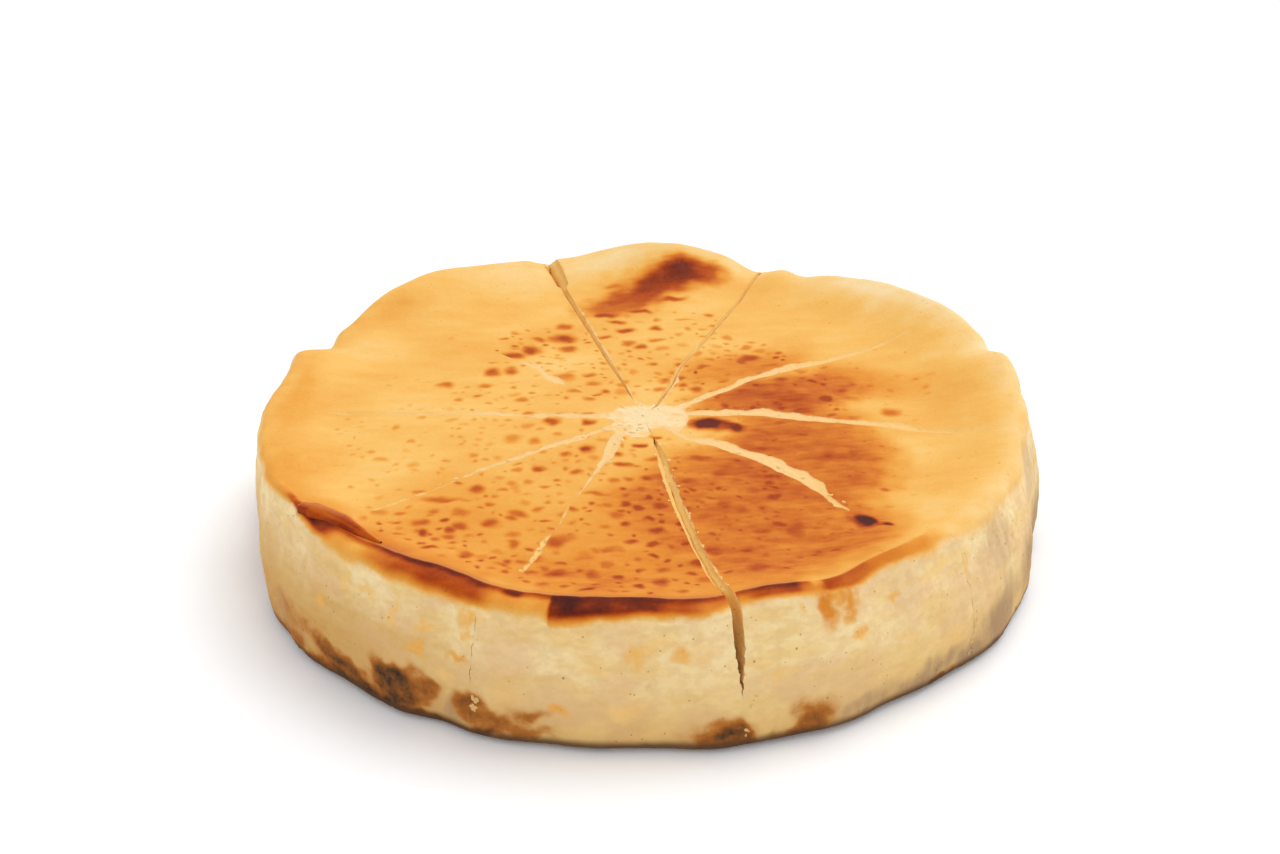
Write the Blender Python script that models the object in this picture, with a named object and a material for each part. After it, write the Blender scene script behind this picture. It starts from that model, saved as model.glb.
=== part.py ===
"""A baked cheesecake with no biscuit base, already cut into ten slices.

The cake is first turned whole, as it sets in its round tin. The folds of the baking paper are
then pressed into its side and rim. Last, each slice is what one pair of knife cuts leaves of it.
Metres, +Z up, with the origin under the middle of the cake on the surface that it stands on.
"""

import math
import random

import bmesh
import bpy

# Driving dimensions of the whole cake
RIM_RADIUS = 0.1130  # crest of the browned rim
SIDE_RADIUS = 0.1178  # pale side, just under the rounded shoulder
BELLY_RADIUS = 0.1228  # widest place, low on the side
FOOT_RADIUS = 0.1222
RIM_HEIGHT = 0.0445
MIDDLE_HEIGHT = 0.0428
MOAT_RADIUS = 0.0880  # shallow dip that runs round inside the rim
MOAT_HEIGHT = 0.0416
BELLY_HEIGHT = 0.0140
SHOULDER_DROP = 0.0042  # from the crest down to the pale side
FOOT_ROUND = 0.0040  # rounding where the side meets the bottom

# Fineness of the turned body
COLUMNS = 150
TOP_RINGS = 12
SHOULDER_RINGS = 4
SIDE_RINGS = 5
FOOT_RINGS = 3

# Where the baking paper pressed the side in, or let it bulge: angle, depth at the rim, depth at
# the foot, half width
PAPER_FOLDS = (
    (14, -0.0044, -0.0016, 44),
    (5, 0.0008, 0.0004, 7),
    (26, 0.0020, 0.0015, 5),
    (60, 0.0020, 0.0025, 5),
    (147, 0.0036, 0.0012, 14),
    (153.5, 0.0048, 0.0016, 6.5),
    (169, 0.0028, 0.0015, 12),
    (188, 0.0018, 0.0104, 26),
    (215, 0.0004, 0.0016, 16),
    (243, 0.0012, 0.0016, 6),
    (284, 0.0015, 0.0000, 7),
    (297, -0.0008, -0.0023, 32),
    (306, 0.0010, 0.0008, 6),
    (330, -0.0016, -0.0042, 22),
    (350, 0.0008, 0.0016, 9),
    (0, 0.0000, -0.0016, 12),
)
# Stretches of the rim that rose in the oven or sagged beside a cut: angle, rise, half width
RIM_SWELLS = (
    (0, 0.0018, 26),
    (18, 0.0020, 12),
    (40, 0.0049, 21),
    (69, -0.0028, 6),
    (85, 0.0038, 17),
    (106, -0.0014, 3),
    (126, 0.0026, 20),
    (165, 0.0009, 12),
    (239, 0.0026, 17),
    (268, 0.0010, 14),
    (290, 0.0008, 8),
    (312, 0.0016, 13),
)
# Small unevenness of the side: height of its waves, and how many go round the cake
SIDE_WAVE = 0.0004
SIDE_WAVE_COUNTS = (7, 11, 17, 23)
SINK_DEPTH = 0.0006  # the top's slow waves
WAVE_SEED = 12

# Knife cuts: angle, gap at the top of the rim where the cut stands open, width of the groove
KNIFE_CUTS = (
    (32.4, 0.0, 0.0018),
    (68.8, 0.0012, 0.0010),
    (106.7, 0.0026, 0.0010),
    (137.5, 0.0, 0.0008),
    (179.5, 0.0, 0.0010),
    (216.8, 0.0, 0.0010),
    (249.4, 0.0, 0.0014),
    (282.6, 0.0024, 0.0014),
    (318.0, 0.0, 0.0028),
    (354.9, 0.0, 0.0016),
)
CLOSED_GAP = 0.0003
CUTS_MEET = (-0.0013, 0.0002)  # the knife missed the middle of the cake by this much
GROOVE_DEPTH = 0.0040
CUTTER_REACH = 1.6  # how far a cutter runs out, in cake radii
OPEN_CUT_FLOOR = 0.0160  # an open cut closes up at this height above the base

# Finishes: colour, roughness
GOLDEN_SKIN = ((0.88, 0.45, 0.12, 1.0), 0.42)
PALE_CAKE = ((0.80, 0.56, 0.26, 1.0), 0.60)


def hump(distance, half_width):
    """1 at distance 0, falling smoothly to 0 at half_width."""
    if abs(distance) >= half_width:
        return 0.0
    return math.cos(0.5 * math.pi * distance / half_width) ** 2


def degrees_between(angle, other):
    return (angle - other + 180.0) % 360.0 - 180.0


def side_waves():
    """Seeded waves round the cake, as (count, phase, share) for each."""
    draw = random.Random(WAVE_SEED)
    return [(n, draw.uniform(0, 2 * math.pi), draw.uniform(0.5, 1.0)) for n in SIDE_WAVE_COUNTS]


def turned_profile():
    """Half section of the plain cake, from the middle of its top, over the rim, to the base."""
    points = []
    for i in range(TOP_RINGS + 1):
        radius = RIM_RADIUS * math.sin(0.5 * math.pi * i / TOP_RINGS) ** 1.15
        if radius < MOAT_RADIUS:
            fall = hump(radius, MOAT_RADIUS)
            height = MOAT_HEIGHT + (MIDDLE_HEIGHT - MOAT_HEIGHT) * fall
        else:
            climb = hump(RIM_RADIUS - radius, RIM_RADIUS - MOAT_RADIUS)
            height = MOAT_HEIGHT + (RIM_HEIGHT - MOAT_HEIGHT) * climb
        points.append((radius, height))
    for i in range(1, SHOULDER_RINGS + 1):
        turn = 0.5 * math.pi * i / SHOULDER_RINGS
        radius = RIM_RADIUS + (SIDE_RADIUS - RIM_RADIUS) * math.sin(turn)
        points.append((radius, RIM_HEIGHT - SHOULDER_DROP * (1 - math.cos(turn))))
    side_top = RIM_HEIGHT - SHOULDER_DROP
    for i in range(1, SIDE_RINGS + 1):
        height = side_top + (FOOT_ROUND - side_top) * i / SIDE_RINGS
        if height > BELLY_HEIGHT:
            lean = 0.5 * math.pi * (side_top - height) / (side_top - BELLY_HEIGHT)
            radius = SIDE_RADIUS + (BELLY_RADIUS - SIDE_RADIUS) * math.sin(lean)
        else:
            tuck = 0.5 * math.pi * (BELLY_HEIGHT - height) / (BELLY_HEIGHT - FOOT_ROUND)
            radius = BELLY_RADIUS - (BELLY_RADIUS - FOOT_RADIUS) * (1 - math.cos(tuck))
        points.append((radius, height))
    for i in range(1, FOOT_RINGS + 1):
        turn = 0.5 * math.pi * i / FOOT_RINGS
        radius = FOOT_RADIUS - FOOT_ROUND * (1 - math.cos(turn))
        points.append((radius, FOOT_ROUND * (1 - math.sin(turn))))
    points.append((0.0, 0.0))
    return points


def settled(x, y, z, waves):
    """Where a point of the plain cake ends up once the folds, swells and waves have shaped it."""
    radius = math.hypot(x, y)
    angle = math.atan2(y, x)
    degrees = math.degrees(angle)
    up = z / RIM_HEIGHT
    near_rim = min(1.0, radius / RIM_RADIUS) ** 6
    pressed = 0.0
    for at, rim_depth, foot_depth, half_width in PAPER_FOLDS:
        depth = foot_depth + (rim_depth - foot_depth) * up
        pressed += depth * hump(degrees_between(degrees, at), half_width)
    rise = sum(lift * hump(degrees_between(degrees, at), wide) for at, lift, wide in RIM_SWELLS)
    wave = sum(share * math.sin(n * angle + phase) for n, phase, share in waves)
    slow = math.sin(2 * angle + 1.0) * math.sin(math.pi * min(1.0, radius / RIM_RADIUS))
    moved = radius + (SIDE_WAVE * wave - pressed) * near_rim
    height = z + up * (near_rim * (rise - 0.35 * pressed) + SINK_DEPTH * slow)
    scale = moved / radius if radius > 0 else 1.0
    return x * scale, y * scale, height


def whole_cake():
    """The uncut cake as one closed mesh: a turned body, shaped point by point."""
    body = bmesh.new()
    profile = [body.verts.new((radius, 0.0, height)) for radius, height in turned_profile()]
    edges = [body.edges.new(pair) for pair in zip(profile, profile[1:])]
    bmesh.ops.spin(
        body,
        geom=profile + edges,
        axis=(0, 0, 1),
        cent=(0, 0, 0),
        steps=COLUMNS,
        angle=2 * math.pi,
        use_merge=True,
    )
    bmesh.ops.remove_doubles(body, verts=body.verts, dist=0.00001)
    bmesh.ops.recalc_face_normals(body, faces=body.faces)
    waves = side_waves()
    for vertex in body.verts:
        vertex.co = settled(*vertex.co, waves)
    skin_edge = RIM_HEIGHT - 0.7 * SHOULDER_DROP
    for face in body.faces:
        face.material_index = 0 if face.calc_center_median().z > skin_edge else 1
    mesh = bpy.data.meshes.new("whole_cake")
    body.to_mesh(mesh)
    body.free()
    return mesh


def centred(mesh):
    """Moves the mesh so that the middle of its outline is over the origin."""
    for axis in (0, 1):
        reach = [vertex.co[axis] for vertex in mesh.vertices]
        middle = (min(reach) + max(reach)) / 2
        for vertex in mesh.vertices:
            vertex.co[axis] -= middle
    return mesh


def cut_levels(cut):
    """Half the gap of a cut, as (height, at the middle of the cake, at its rim), from low to high."""
    _, opening, groove = cut
    closed = CLOSED_GAP / 2
    groove_floor = MIDDLE_HEIGHT - GROOVE_DEPTH
    rising = (groove_floor - OPEN_CUT_FLOOR) / (RIM_HEIGHT - OPEN_CUT_FLOOR)
    above = RIM_HEIGHT + GROOVE_DEPTH
    spread = (groove / 2 - closed) * (above - groove_floor) / GROOVE_DEPTH
    return (
        (-0.01, closed, closed),
        (OPEN_CUT_FLOOR, closed, closed),
        (groove_floor, closed, closed + rising * opening / 2),
        (above, closed + spread, closed + spread + opening / 2),
    )


def cut_line(cut, level, inward):
    """A cut's edge at one level, as two points, moved sideways into the slice by half its gap."""
    height, at_middle, at_rim = cut_levels(cut)[level]
    angle = math.radians(cut[0])
    along = (math.cos(angle), math.sin(angle))
    across = (-inward * along[1], inward * along[0])
    far = CUTTER_REACH * BELLY_RADIUS
    far_gap = at_middle + (at_rim - at_middle) * CUTTER_REACH
    x, y = CUTS_MEET
    start = (x + across[0] * at_middle, y + across[1] * at_middle)
    end = (x + along[0] * far + across[0] * far_gap, y + along[1] * far + across[1] * far_gap)
    return start, end, height


def crossing(first, second):
    """Where two lines, each given by two points, cross in plan."""
    (ax, ay), (bx, by) = first
    (cx, cy), (dx, dy) = second
    ux, uy, vx, vy = bx - ax, by - ay, dx - cx, dy - cy
    t = ((cx - ax) * vy - (cy - ay) * vx) / (ux * vy - uy * vx)
    return ax + t * ux, ay + t * uy


def knife_wedge(name, first_cut, second_cut, material):
    """The space between two cuts, as a closed cutter taller and wider than the cake."""
    wedge = bmesh.new()
    loops = []
    for level in range(len(cut_levels(first_cut))):
        start, end, height = cut_line(first_cut, level, 1)
        other_start, other_end, _ = cut_line(second_cut, level, -1)
        tip = crossing((start, end), (other_start, other_end))
        loops.append([wedge.verts.new((x, y, height)) for x, y in (tip, end, other_end)])
    for lower, upper in zip(loops, loops[1:]):
        for i in range(3):
            j = (i + 1) % 3
            wedge.faces.new((lower[i], lower[j], upper[j], upper[i]))
    wedge.faces.new(loops[0][::-1])
    wedge.faces.new(loops[-1])
    bmesh.ops.triangulate(wedge, faces=wedge.faces)
    bmesh.ops.recalc_face_normals(wedge, faces=wedge.faces)
    mesh = bpy.data.meshes.new(name)
    wedge.to_mesh(mesh)
    wedge.free()
    mesh.materials.append(material)
    cutter = bpy.data.objects.new(name, mesh)
    bpy.context.scene.collection.objects.link(cutter)
    cutter.hide_render = True
    cutter.display_type = "WIRE"
    return cutter


def finish(name, look):
    """A plain food material."""
    colour, roughness = look
    material = bpy.data.materials.new(name)
    material.use_nodes = True
    shader = material.node_tree.nodes["Principled BSDF"]
    shader.inputs["Base Color"].default_value = colour
    shader.inputs["Roughness"].default_value = roughness
    shader.inputs["Metallic"].default_value = 0.0
    return material


def cut_into_slices(cake, board, body_material):
    """Ten slices, each the part of the cake between one cut and the next."""
    for number, cut in enumerate(KNIFE_CUTS, start=1):
        next_cut = KNIFE_CUTS[number % len(KNIFE_CUTS)]
        portion = bpy.data.objects.new(f"slice_{number:02d}", cake)
        bpy.context.scene.collection.objects.link(portion)
        portion.parent = board
        keep = portion.modifiers.new("between_cuts", "BOOLEAN")
        keep.operation = "INTERSECT"
        keep.solver = "EXACT"
        keep.object = knife_wedge(f"wedge_{number:02d}", cut, next_cut, body_material)


for old in list(bpy.data.objects):
    bpy.data.objects.remove(old)
skin_material = finish("golden_skin", GOLDEN_SKIN)
cake_material = finish("pale_cake", PALE_CAKE)
baked = centred(whole_cake())
baked.materials.append(skin_material)
baked.materials.append(cake_material)
baked.shade_smooth()
baked.set_sharp_from_angle(angle=math.radians(50))
serving_place = bpy.data.objects.new("cake", None)
bpy.context.scene.collection.objects.link(serving_place)
cut_into_slices(baked, serving_place, cake_material)
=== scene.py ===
"""A baked cheesecake, cut into ten wedges that still stand together, in soft studio light.

The sections follow the cake as it is made: the batter sets and browns in its tin, the knife cuts
it, and the wedges are put back side by side. The cake's own sizes are in millimetres.
"""

import math
import random
from collections import namedtuple

import bmesh
import bpy
import numpy as np
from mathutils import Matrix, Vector
from mathutils.geometry import delaunay_2d_cdt


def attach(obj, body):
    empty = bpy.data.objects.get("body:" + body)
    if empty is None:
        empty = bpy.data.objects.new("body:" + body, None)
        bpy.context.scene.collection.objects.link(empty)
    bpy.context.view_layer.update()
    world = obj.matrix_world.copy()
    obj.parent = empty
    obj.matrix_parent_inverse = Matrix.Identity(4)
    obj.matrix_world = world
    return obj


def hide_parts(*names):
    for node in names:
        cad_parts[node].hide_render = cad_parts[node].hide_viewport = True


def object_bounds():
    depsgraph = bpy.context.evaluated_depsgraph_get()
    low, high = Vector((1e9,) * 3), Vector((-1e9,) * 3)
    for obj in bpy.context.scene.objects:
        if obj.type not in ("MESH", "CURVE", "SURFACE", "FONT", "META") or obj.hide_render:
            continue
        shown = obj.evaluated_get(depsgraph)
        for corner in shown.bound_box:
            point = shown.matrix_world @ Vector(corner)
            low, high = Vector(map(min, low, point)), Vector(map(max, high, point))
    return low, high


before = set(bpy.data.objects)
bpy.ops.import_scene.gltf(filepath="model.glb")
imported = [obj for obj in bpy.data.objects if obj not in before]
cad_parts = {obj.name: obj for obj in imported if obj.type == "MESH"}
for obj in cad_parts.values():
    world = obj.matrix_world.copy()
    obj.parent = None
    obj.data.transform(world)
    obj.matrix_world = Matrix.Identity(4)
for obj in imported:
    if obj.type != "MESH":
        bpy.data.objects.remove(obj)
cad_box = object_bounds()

# The view
# A long lens looks down at the cake from about 30 degrees above the table, straight on to the side
# where the rim is darkest.
CAMERA_DISTANCE = 0.900
CAMERA_TILT = math.radians(30.4)
LOOKS_AT = Vector((-0.0022, 0.0, 0.0372))
FOCAL_LENGTH = 80.58

camera = bpy.data.objects.new("camera", bpy.data.cameras.new("camera"))
bpy.context.scene.collection.objects.link(camera)
camera.data.lens = FOCAL_LENGTH
camera.location = (
    0.0,
    -CAMERA_DISTANCE * math.cos(CAMERA_TILT),
    CAMERA_DISTANCE * math.sin(CAMERA_TILT),
)
camera.rotation_euler = (LOOKS_AT - camera.location).to_track_quat("-Z", "Y").to_euler()
bpy.context.scene.camera = camera

# The cake as it sets in the tin
# A dense cream cheese batter bakes in a round tin lined with one creased sheet of paper. The paper's
# folds stay pressed into the side, the rim climbs the paper, and a shallow dip runs round inside it.
RIM_RADIUS = 113.0
SIDE_RADIUS = 117.8
BELLY_RADIUS = 122.8
FOOT_RADIUS = 122.2
RIM_HEIGHT = 44.5
MIDDLE_HEIGHT = 42.8
MOAT_RADIUS = 88.0
MOAT_HEIGHT = 41.6
BELLY_HEIGHT = 14.0
SHOULDER_DROP = 4.2
FOOT_ROUND = 4.0
PAPER_FOLDS = (  # angle, depth at the rim, depth at the foot, half width in degrees
    (19, -5.6, -1.8, 44),
    (5, 0.8, 0.4, 7),
    (19.5, 2.0, 1.5, 5),
    (60, 2.0, 2.5, 5),
    (147, 3.6, 1.2, 14),
    (153.5, 4.8, 1.6, 6.5),
    (169, 2.8, 1.5, 12),
    (188, 1.8, 10.4, 26),
    (215, 0.4, 1.6, 16),
    (243, 1.2, 1.6, 6),
    (284, 1.5, 0.0, 7),
    (297, -0.8, -2.3, 32),
    (306, 1.0, 0.8, 6),
    (330, -1.6, -4.2, 22),
    (350, 0.8, 1.6, 9),
    (0, 0.0, -1.6, 12),
)
RIM_SWELLS = (  # angle, rise, half width in degrees
    (0, 1.8, 26),
    (13, 2.6, 9),
    (38.5, 4.4, 22.5),
    (54, 1.0, 12),
    (69, -2.8, 6),
    (85, 4.9, 18),
    (106.0, -1.4, 3),
    (127, 3.5, 22),
    (165, 0.9, 12),
    (239, 2.6, 17),
    (268, 1.0, 14),
    (290, 0.8, 8),
    (312, 1.6, 13),
)
SIDE_WAVE = 0.4
SIDE_WAVE_COUNTS = (7, 11, 17, 23)
SINK_DEPTH = 0.6
FOLDS_FADE = 6  # power of the share of the rim's radius, by which folds and swells fade inwards
RIM_LOWERED = 0.35  # share of a fold's depth by which the cake sinks over it
WAVE_SEED = 12


def hump(distance, half_width):
    """1 at distance 0, falling smoothly to 0 at half_width."""
    share = np.minimum(1.0, np.abs(distance) / half_width)
    return np.cos(0.5 * np.pi * share) ** 2


def degrees_between(angle, other):
    return (angle - other + 180.0) % 360.0 - 180.0


def top_height(radius):
    """Height of the plain top: level in the middle, dipping at the moat, rising to the rim."""
    inner = MOAT_HEIGHT + (MIDDLE_HEIGHT - MOAT_HEIGHT) * hump(radius, MOAT_RADIUS)
    climb = hump(np.maximum(0.0, RIM_RADIUS - radius), RIM_RADIUS - MOAT_RADIUS)
    outer = MOAT_HEIGHT + (RIM_HEIGHT - MOAT_HEIGHT) * climb
    return np.where(radius < MOAT_RADIUS, inner, outer)


def side_profile(steps_round, steps_down, steps_under):
    """Radius and height of points from just past the rim's crest down to the flat base."""
    turn = np.linspace(0, np.pi / 2, steps_round + 1)[1:]
    shoulder = np.stack([
        RIM_RADIUS + (SIDE_RADIUS - RIM_RADIUS) * np.sin(turn),
        RIM_HEIGHT - SHOULDER_DROP * (1 - np.cos(turn)),
    ], axis=1)
    side_top = RIM_HEIGHT - SHOULDER_DROP
    height = np.linspace(side_top, FOOT_ROUND, steps_down + 1)[1:]
    lean = np.clip((side_top - height) / (side_top - BELLY_HEIGHT), 0, 1) * np.pi / 2
    tuck = np.clip((BELLY_HEIGHT - height) / (BELLY_HEIGHT - FOOT_ROUND), 0, 1) * np.pi / 2
    bulge = SIDE_RADIUS + (BELLY_RADIUS - SIDE_RADIUS) * np.sin(lean)
    bulge -= (BELLY_RADIUS - FOOT_RADIUS) * (1 - np.cos(tuck))
    turn = np.linspace(0, np.pi / 2, steps_under + 1)[1:]
    foot = np.stack([
        FOOT_RADIUS - FOOT_ROUND * (1 - np.cos(turn)),
        FOOT_ROUND * (1 - np.sin(turn)),
    ], axis=1)
    return np.vstack([shoulder, np.stack([bulge, height], axis=1), foot])


def settled(radius, degrees, height):
    """Radius and height of a point of the plain cake after folds, swells and waves shaped it."""
    draw = random.Random(WAVE_SEED)
    waves = [(n, draw.uniform(0, 2 * math.pi), draw.uniform(0.5, 1.0)) for n in SIDE_WAVE_COUNTS]
    angle = np.radians(degrees)
    up = height / RIM_HEIGHT
    inside = np.minimum(1.0, radius / RIM_RADIUS)
    near_rim = inside**FOLDS_FADE
    pressed = 0.0
    for at, rim_depth, foot_depth, half_width in PAPER_FOLDS:
        depth = foot_depth + (rim_depth - foot_depth) * up
        pressed = pressed + depth * hump(degrees_between(degrees, at), half_width)
    rise = sum(lift * hump(degrees_between(degrees, at), wide) for at, lift, wide in RIM_SWELLS)
    wave = sum(share * np.sin(n * angle + phase) for n, phase, share in waves)
    slow = np.sin(2 * angle + 1.0) * np.sin(np.pi * inside)
    moved = radius + (SIDE_WAVE * wave - pressed) * near_rim
    return moved, height + up * (near_rim * (rise - RIM_LOWERED * pressed) + SINK_DEPTH * slow)


def outline_middle():
    """Middle of the settled cake's outline, which stands over the frame's origin."""
    degrees = np.arange(0, 360, 0.5)[:, None]
    plain = side_profile(steps_round=4, steps_down=12, steps_under=3)
    radius, _ = settled(plain[None, :, 0], degrees, plain[None, :, 1])
    x = radius * np.cos(np.radians(degrees))
    y = radius * np.sin(np.radians(degrees))
    return np.array([(x.min() + x.max()) / 2, (y.min() + y.max()) / 2])


# The knife cuts
# A long knife is pressed down along ten lines that nearly meet in the middle. Each line wanders a
# little, some stand open at the rim, and the blade drags strips of skin off the wedge beside it.
Cut = namedtuple("Cut", "angle wander opening depth torn_ahead torn_behind")
CUTS_MEET = np.array([-1.3, 0.2])
CLOSED_GAP = 0.01
CRACK_JAG = 0.18
CRACK_BREAKS = 0.85  # share by which a thin crack closes between its dashes
CRACK_DASHES = 0.85  # radians per mm of depth, for the dashes of a thin crack
JAG_DEPTHS = (7, 13)  # a cut runs straight down to the first, and is fully jagged from the second
CLOSED = ((0, 0.0), (125, 0.0))
GROOVE = ((0, 1.5), (125, 1.5))
SHALLOW_GROOVE = ((0, 0.85), (125, 0.85))
CRACK = ((0, 0.0), (114, 0.0), (119, 0.22), (125, 0.22))
CRACK_DEPTH = ((0, 1.5), (112, 2.0), (119, 50.0), (125, 50.0))
FOOT_CRACK = ((0, 0.0), (114, 0.0), (119, 0.14), (122, 0.22), (125, 0.48))
FOOT_CRACK_DEPTH = ((0, 1.5), (112, 2.0), (119, 90.0), (125, 90.0))
CUTS = (  # each list holds pairs: distance from the middle, and the value there, in mm
    Cut(32.4,
        wander=((0, 0), (18, -2.2), (30, -1.0), (46, 1.4), (58, 0.6), (74, -1.3), (90, -2.0), (125, -1.4)),
        opening=CLOSED, depth=GROOVE,
        torn_ahead=((12, 1.6), (20, 2.4), (45, 2.9), (62, 3.2), (72, 2.2), (88, 1.8), (100, 0.8),
                    (106, -1.4)),
        torn_behind=((12, 0.0), (60, -0.4), (96, -0.8), (106, -1.4))),
    Cut(68.8,
        wander=((0, 0), (8, -1.5), (20, -0.8), (38, 1.2), (60, 0.5), (125, 0.8)),
        opening=((0, 0.0), (4, 0.0), (9, 0.9), (24, 1.6), (60, 1.4), (104, 1.2), (118, 1.6), (125, 1.6)),
        depth=SHALLOW_GROOVE,
        torn_ahead=((12, -0.3), (125, -0.3)),
        torn_behind=((12, 0.3), (24, 0.9), (34, -0.3), (110, -0.3))),
    Cut(106.7,
        wander=((0, 0), (30, -0.5), (70, -1.0), (125, -0.9)),
        opening=((0, 0.0), (9, 0.0), (16, 0.6), (40, 1.5), (80, 1.8), (96, 1.8), (99, 4.4),
                 (110, 5.0), (125, 5.0)),
        depth=((0, 1.1), (90, 1.4), (99, 3.0), (125, 3.4)),
        torn_ahead=((12, -0.2), (125, -0.2)),
        torn_behind=((12, 0.1), (50, 0.2), (66, 0.5), (80, 0.1), (110, 0.1))),
    Cut(137.5,
        wander=((0, 0), (37, 1.5), (50, -1.3), (125, -0.5)),
        opening=CLOSED, depth=GROOVE,
        torn_ahead=((12, -0.4), (30, 0.0), (36, 1.0), (46, -0.4), (110, -1.4)),
        torn_behind=((12, -0.4), (28, -0.2), (38, 2.8), (50, 2.4), (55, -1.4), (110, -1.4))),
    Cut(179.5,
        wander=((0, 0), (18, 1.3), (31, 0.5), (45, -0.5), (92, -1.4), (125, 0)),
        opening=CLOSED, depth=GROOVE,
        torn_ahead=((12, 0.8), (60, 0.5), (90, 0.3), (104, -1.4)),
        torn_behind=((12, 1.6), (60, 1.1), (90, 0.6), (104, -1.4))),
    Cut(216.8,
        wander=((0, 0), (20, 0.9), (35, -0.6), (58, -1.4), (75, -0.4), (94, -0.3), (125, 0.5)),
        opening=CLOSED, depth=GROOVE,
        torn_ahead=((12, 0.6), (30, 0.8), (60, 0.2), (92, 0.1), (100, -1.4)),
        torn_behind=((12, 1.6), (30, 2.2), (38, 1.2), (70, 0.7), (92, 0.5), (100, -1.4))),
    Cut(249.4,
        wander=((0, 0), (14, -2.0), (30, -0.6), (55, -0.5), (70, 0.5), (90, 1.4), (106, 1.8),
                (113, -0.5), (118, -3.4), (125, -4.2)),
        opening=CRACK, depth=CRACK_DEPTH,
        torn_ahead=((12, 1.6), (32, 1.4), (38, 0.1), (78, 0.0), (84, 0.4), (94, 0.3), (100, -1.4)),
        torn_behind=((12, 2.2), (30, 2.2), (40, 0.6), (70, 0.2), (80, 1.0), (92, 0.9), (102, -1.4))),
    Cut(282.6,
        wander=((0, 0), (22, 0.1), (40, -1.0), (56, -1.5), (77, -1.6), (86, -1.2), (99, -1.1), (108, -0.3),
                (118, 0.6), (125, 0.8)),
        opening=((0, 0.0), (14, 0.0), (20, 2.0), (32, 3.0), (50, 3.3), (76, 2.9), (105, 3.1), (125, 3.0)),
        depth=((0, 1.0), (24, 1.3), (103, 1.8), (109, 6.0), (115, 20.0), (118, 26.0), (125, 26.0)),
        torn_ahead=((12, 0.0), (30, -0.1), (60, 0.0), (90, 0.0), (110, -0.3)),
        torn_behind=((12, -0.2), (110, -0.5))),
    Cut(318.0,
        wander=((0, 0), (19, -2.4), (31, 0.6), (46, 2.3), (60, 1.8), (70, 0.6), (80, -1.8),
                (91, -3.2), (104, -3.0), (114, 1.0), (120, 5.0), (125, 6.0)),
        opening=FOOT_CRACK, depth=FOOT_CRACK_DEPTH,
        torn_ahead=((12, 1.6), (26, 3.6), (44, 4.8), (62, 5.4), (68, 4.8), (73, 2.4), (82, 0.9),
                    (88, -1.4)),
        torn_behind=((12, 0.0), (84, 0.0), (92, -1.4))),
    Cut(354.9,
        wander=((0, 0), (18, 1.2), (37, 3.0), (55, 1.0), (73, 0.3), (86, -2.2), (100, -3.6), (125, -3.0)),
        opening=CLOSED, depth=GROOVE,
        torn_ahead=((12, 2.2), (30, 4.4), (48, 4.8), (60, 3.8), (80, 3.0), (94, 1.8), (106, 1.0),
                    (112, -1.4)),
        torn_behind=((12, 0.1), (50, -0.3), (104, -0.8), (110, -1.4))),
)
OPEN_SHARE = 0.45  # share of an opening's depth over which it keeps its width
APEX_RADIUS = 0.35
MIDDLE_REACH = 60.0
TIP_SOFTNESS = 3.0
SCRAPED_TIPS = (10, 8, 7, 9, 11, 15, 13, 10, 15, 15)  # how far the knife lifted the skin off each tip
TORN_EDGE = ((0.42, 2.4, 21), (0.18, 1.0, 22))  # strength, size in mm and seed of its waves
TORN_WIDTH = (0.25, 7, 23)
TORN_TIP = (1.6, 5, 24)


def smoothstep(low, high, value):
    share = np.clip((value - low) / (high - low), 0, 1)
    return share * share * (3 - 2 * share)


def eased(place, points):
    """The value at each place, eased between the (place, value) points."""
    places, values = (np.array(column, float) for column in zip(*points))
    index = np.interp(place, places, np.arange(len(places)))
    low = np.minimum(np.floor(index).astype(int), len(places) - 1)
    high = np.minimum(low + 1, len(places) - 1)
    share = smoothstep(0, 1, index - low)
    return values[low] * (1 - share) + values[high] * share


def ripple(place, size, seed, waves=14):
    """Seeded unevenness, mostly between -1 and 1, with bumps about `size` across."""
    draw = random.Random(seed)
    total = np.zeros(len(place))
    for _ in range(waves):
        heading = np.array([draw.gauss(0, 1), draw.gauss(0, 1), draw.gauss(0, 1)])
        heading /= np.linalg.norm(heading)
        stretch = 2 * math.pi / (size * draw.uniform(1.4, 3.2))
        total += np.sin(place @ heading * stretch + draw.uniform(0, 2 * math.pi))
    return total * 0.8 / math.sqrt(waves)


def uneven(place, *layers):
    """Ripples added up: each layer gives their strength, size and seed."""
    return sum(strength * ripple(place, size, seed) for strength, size, seed in layers)


def cuts_beside(number):
    """The cut that a wedge starts at and the one that it ends at, anticlockwise."""
    return CUTS[number - 1], CUTS[number % len(CUTS)]


def on_plan(radius, angle, meet):
    """Plan position: polar about the cuts' meeting point near the tip, about the axis further out."""
    blend = 1 - smoothstep(0, MIDDLE_REACH, radius)
    return meet[0] * blend + radius * np.cos(angle), meet[1] * blend + radius * np.sin(angle)


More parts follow.
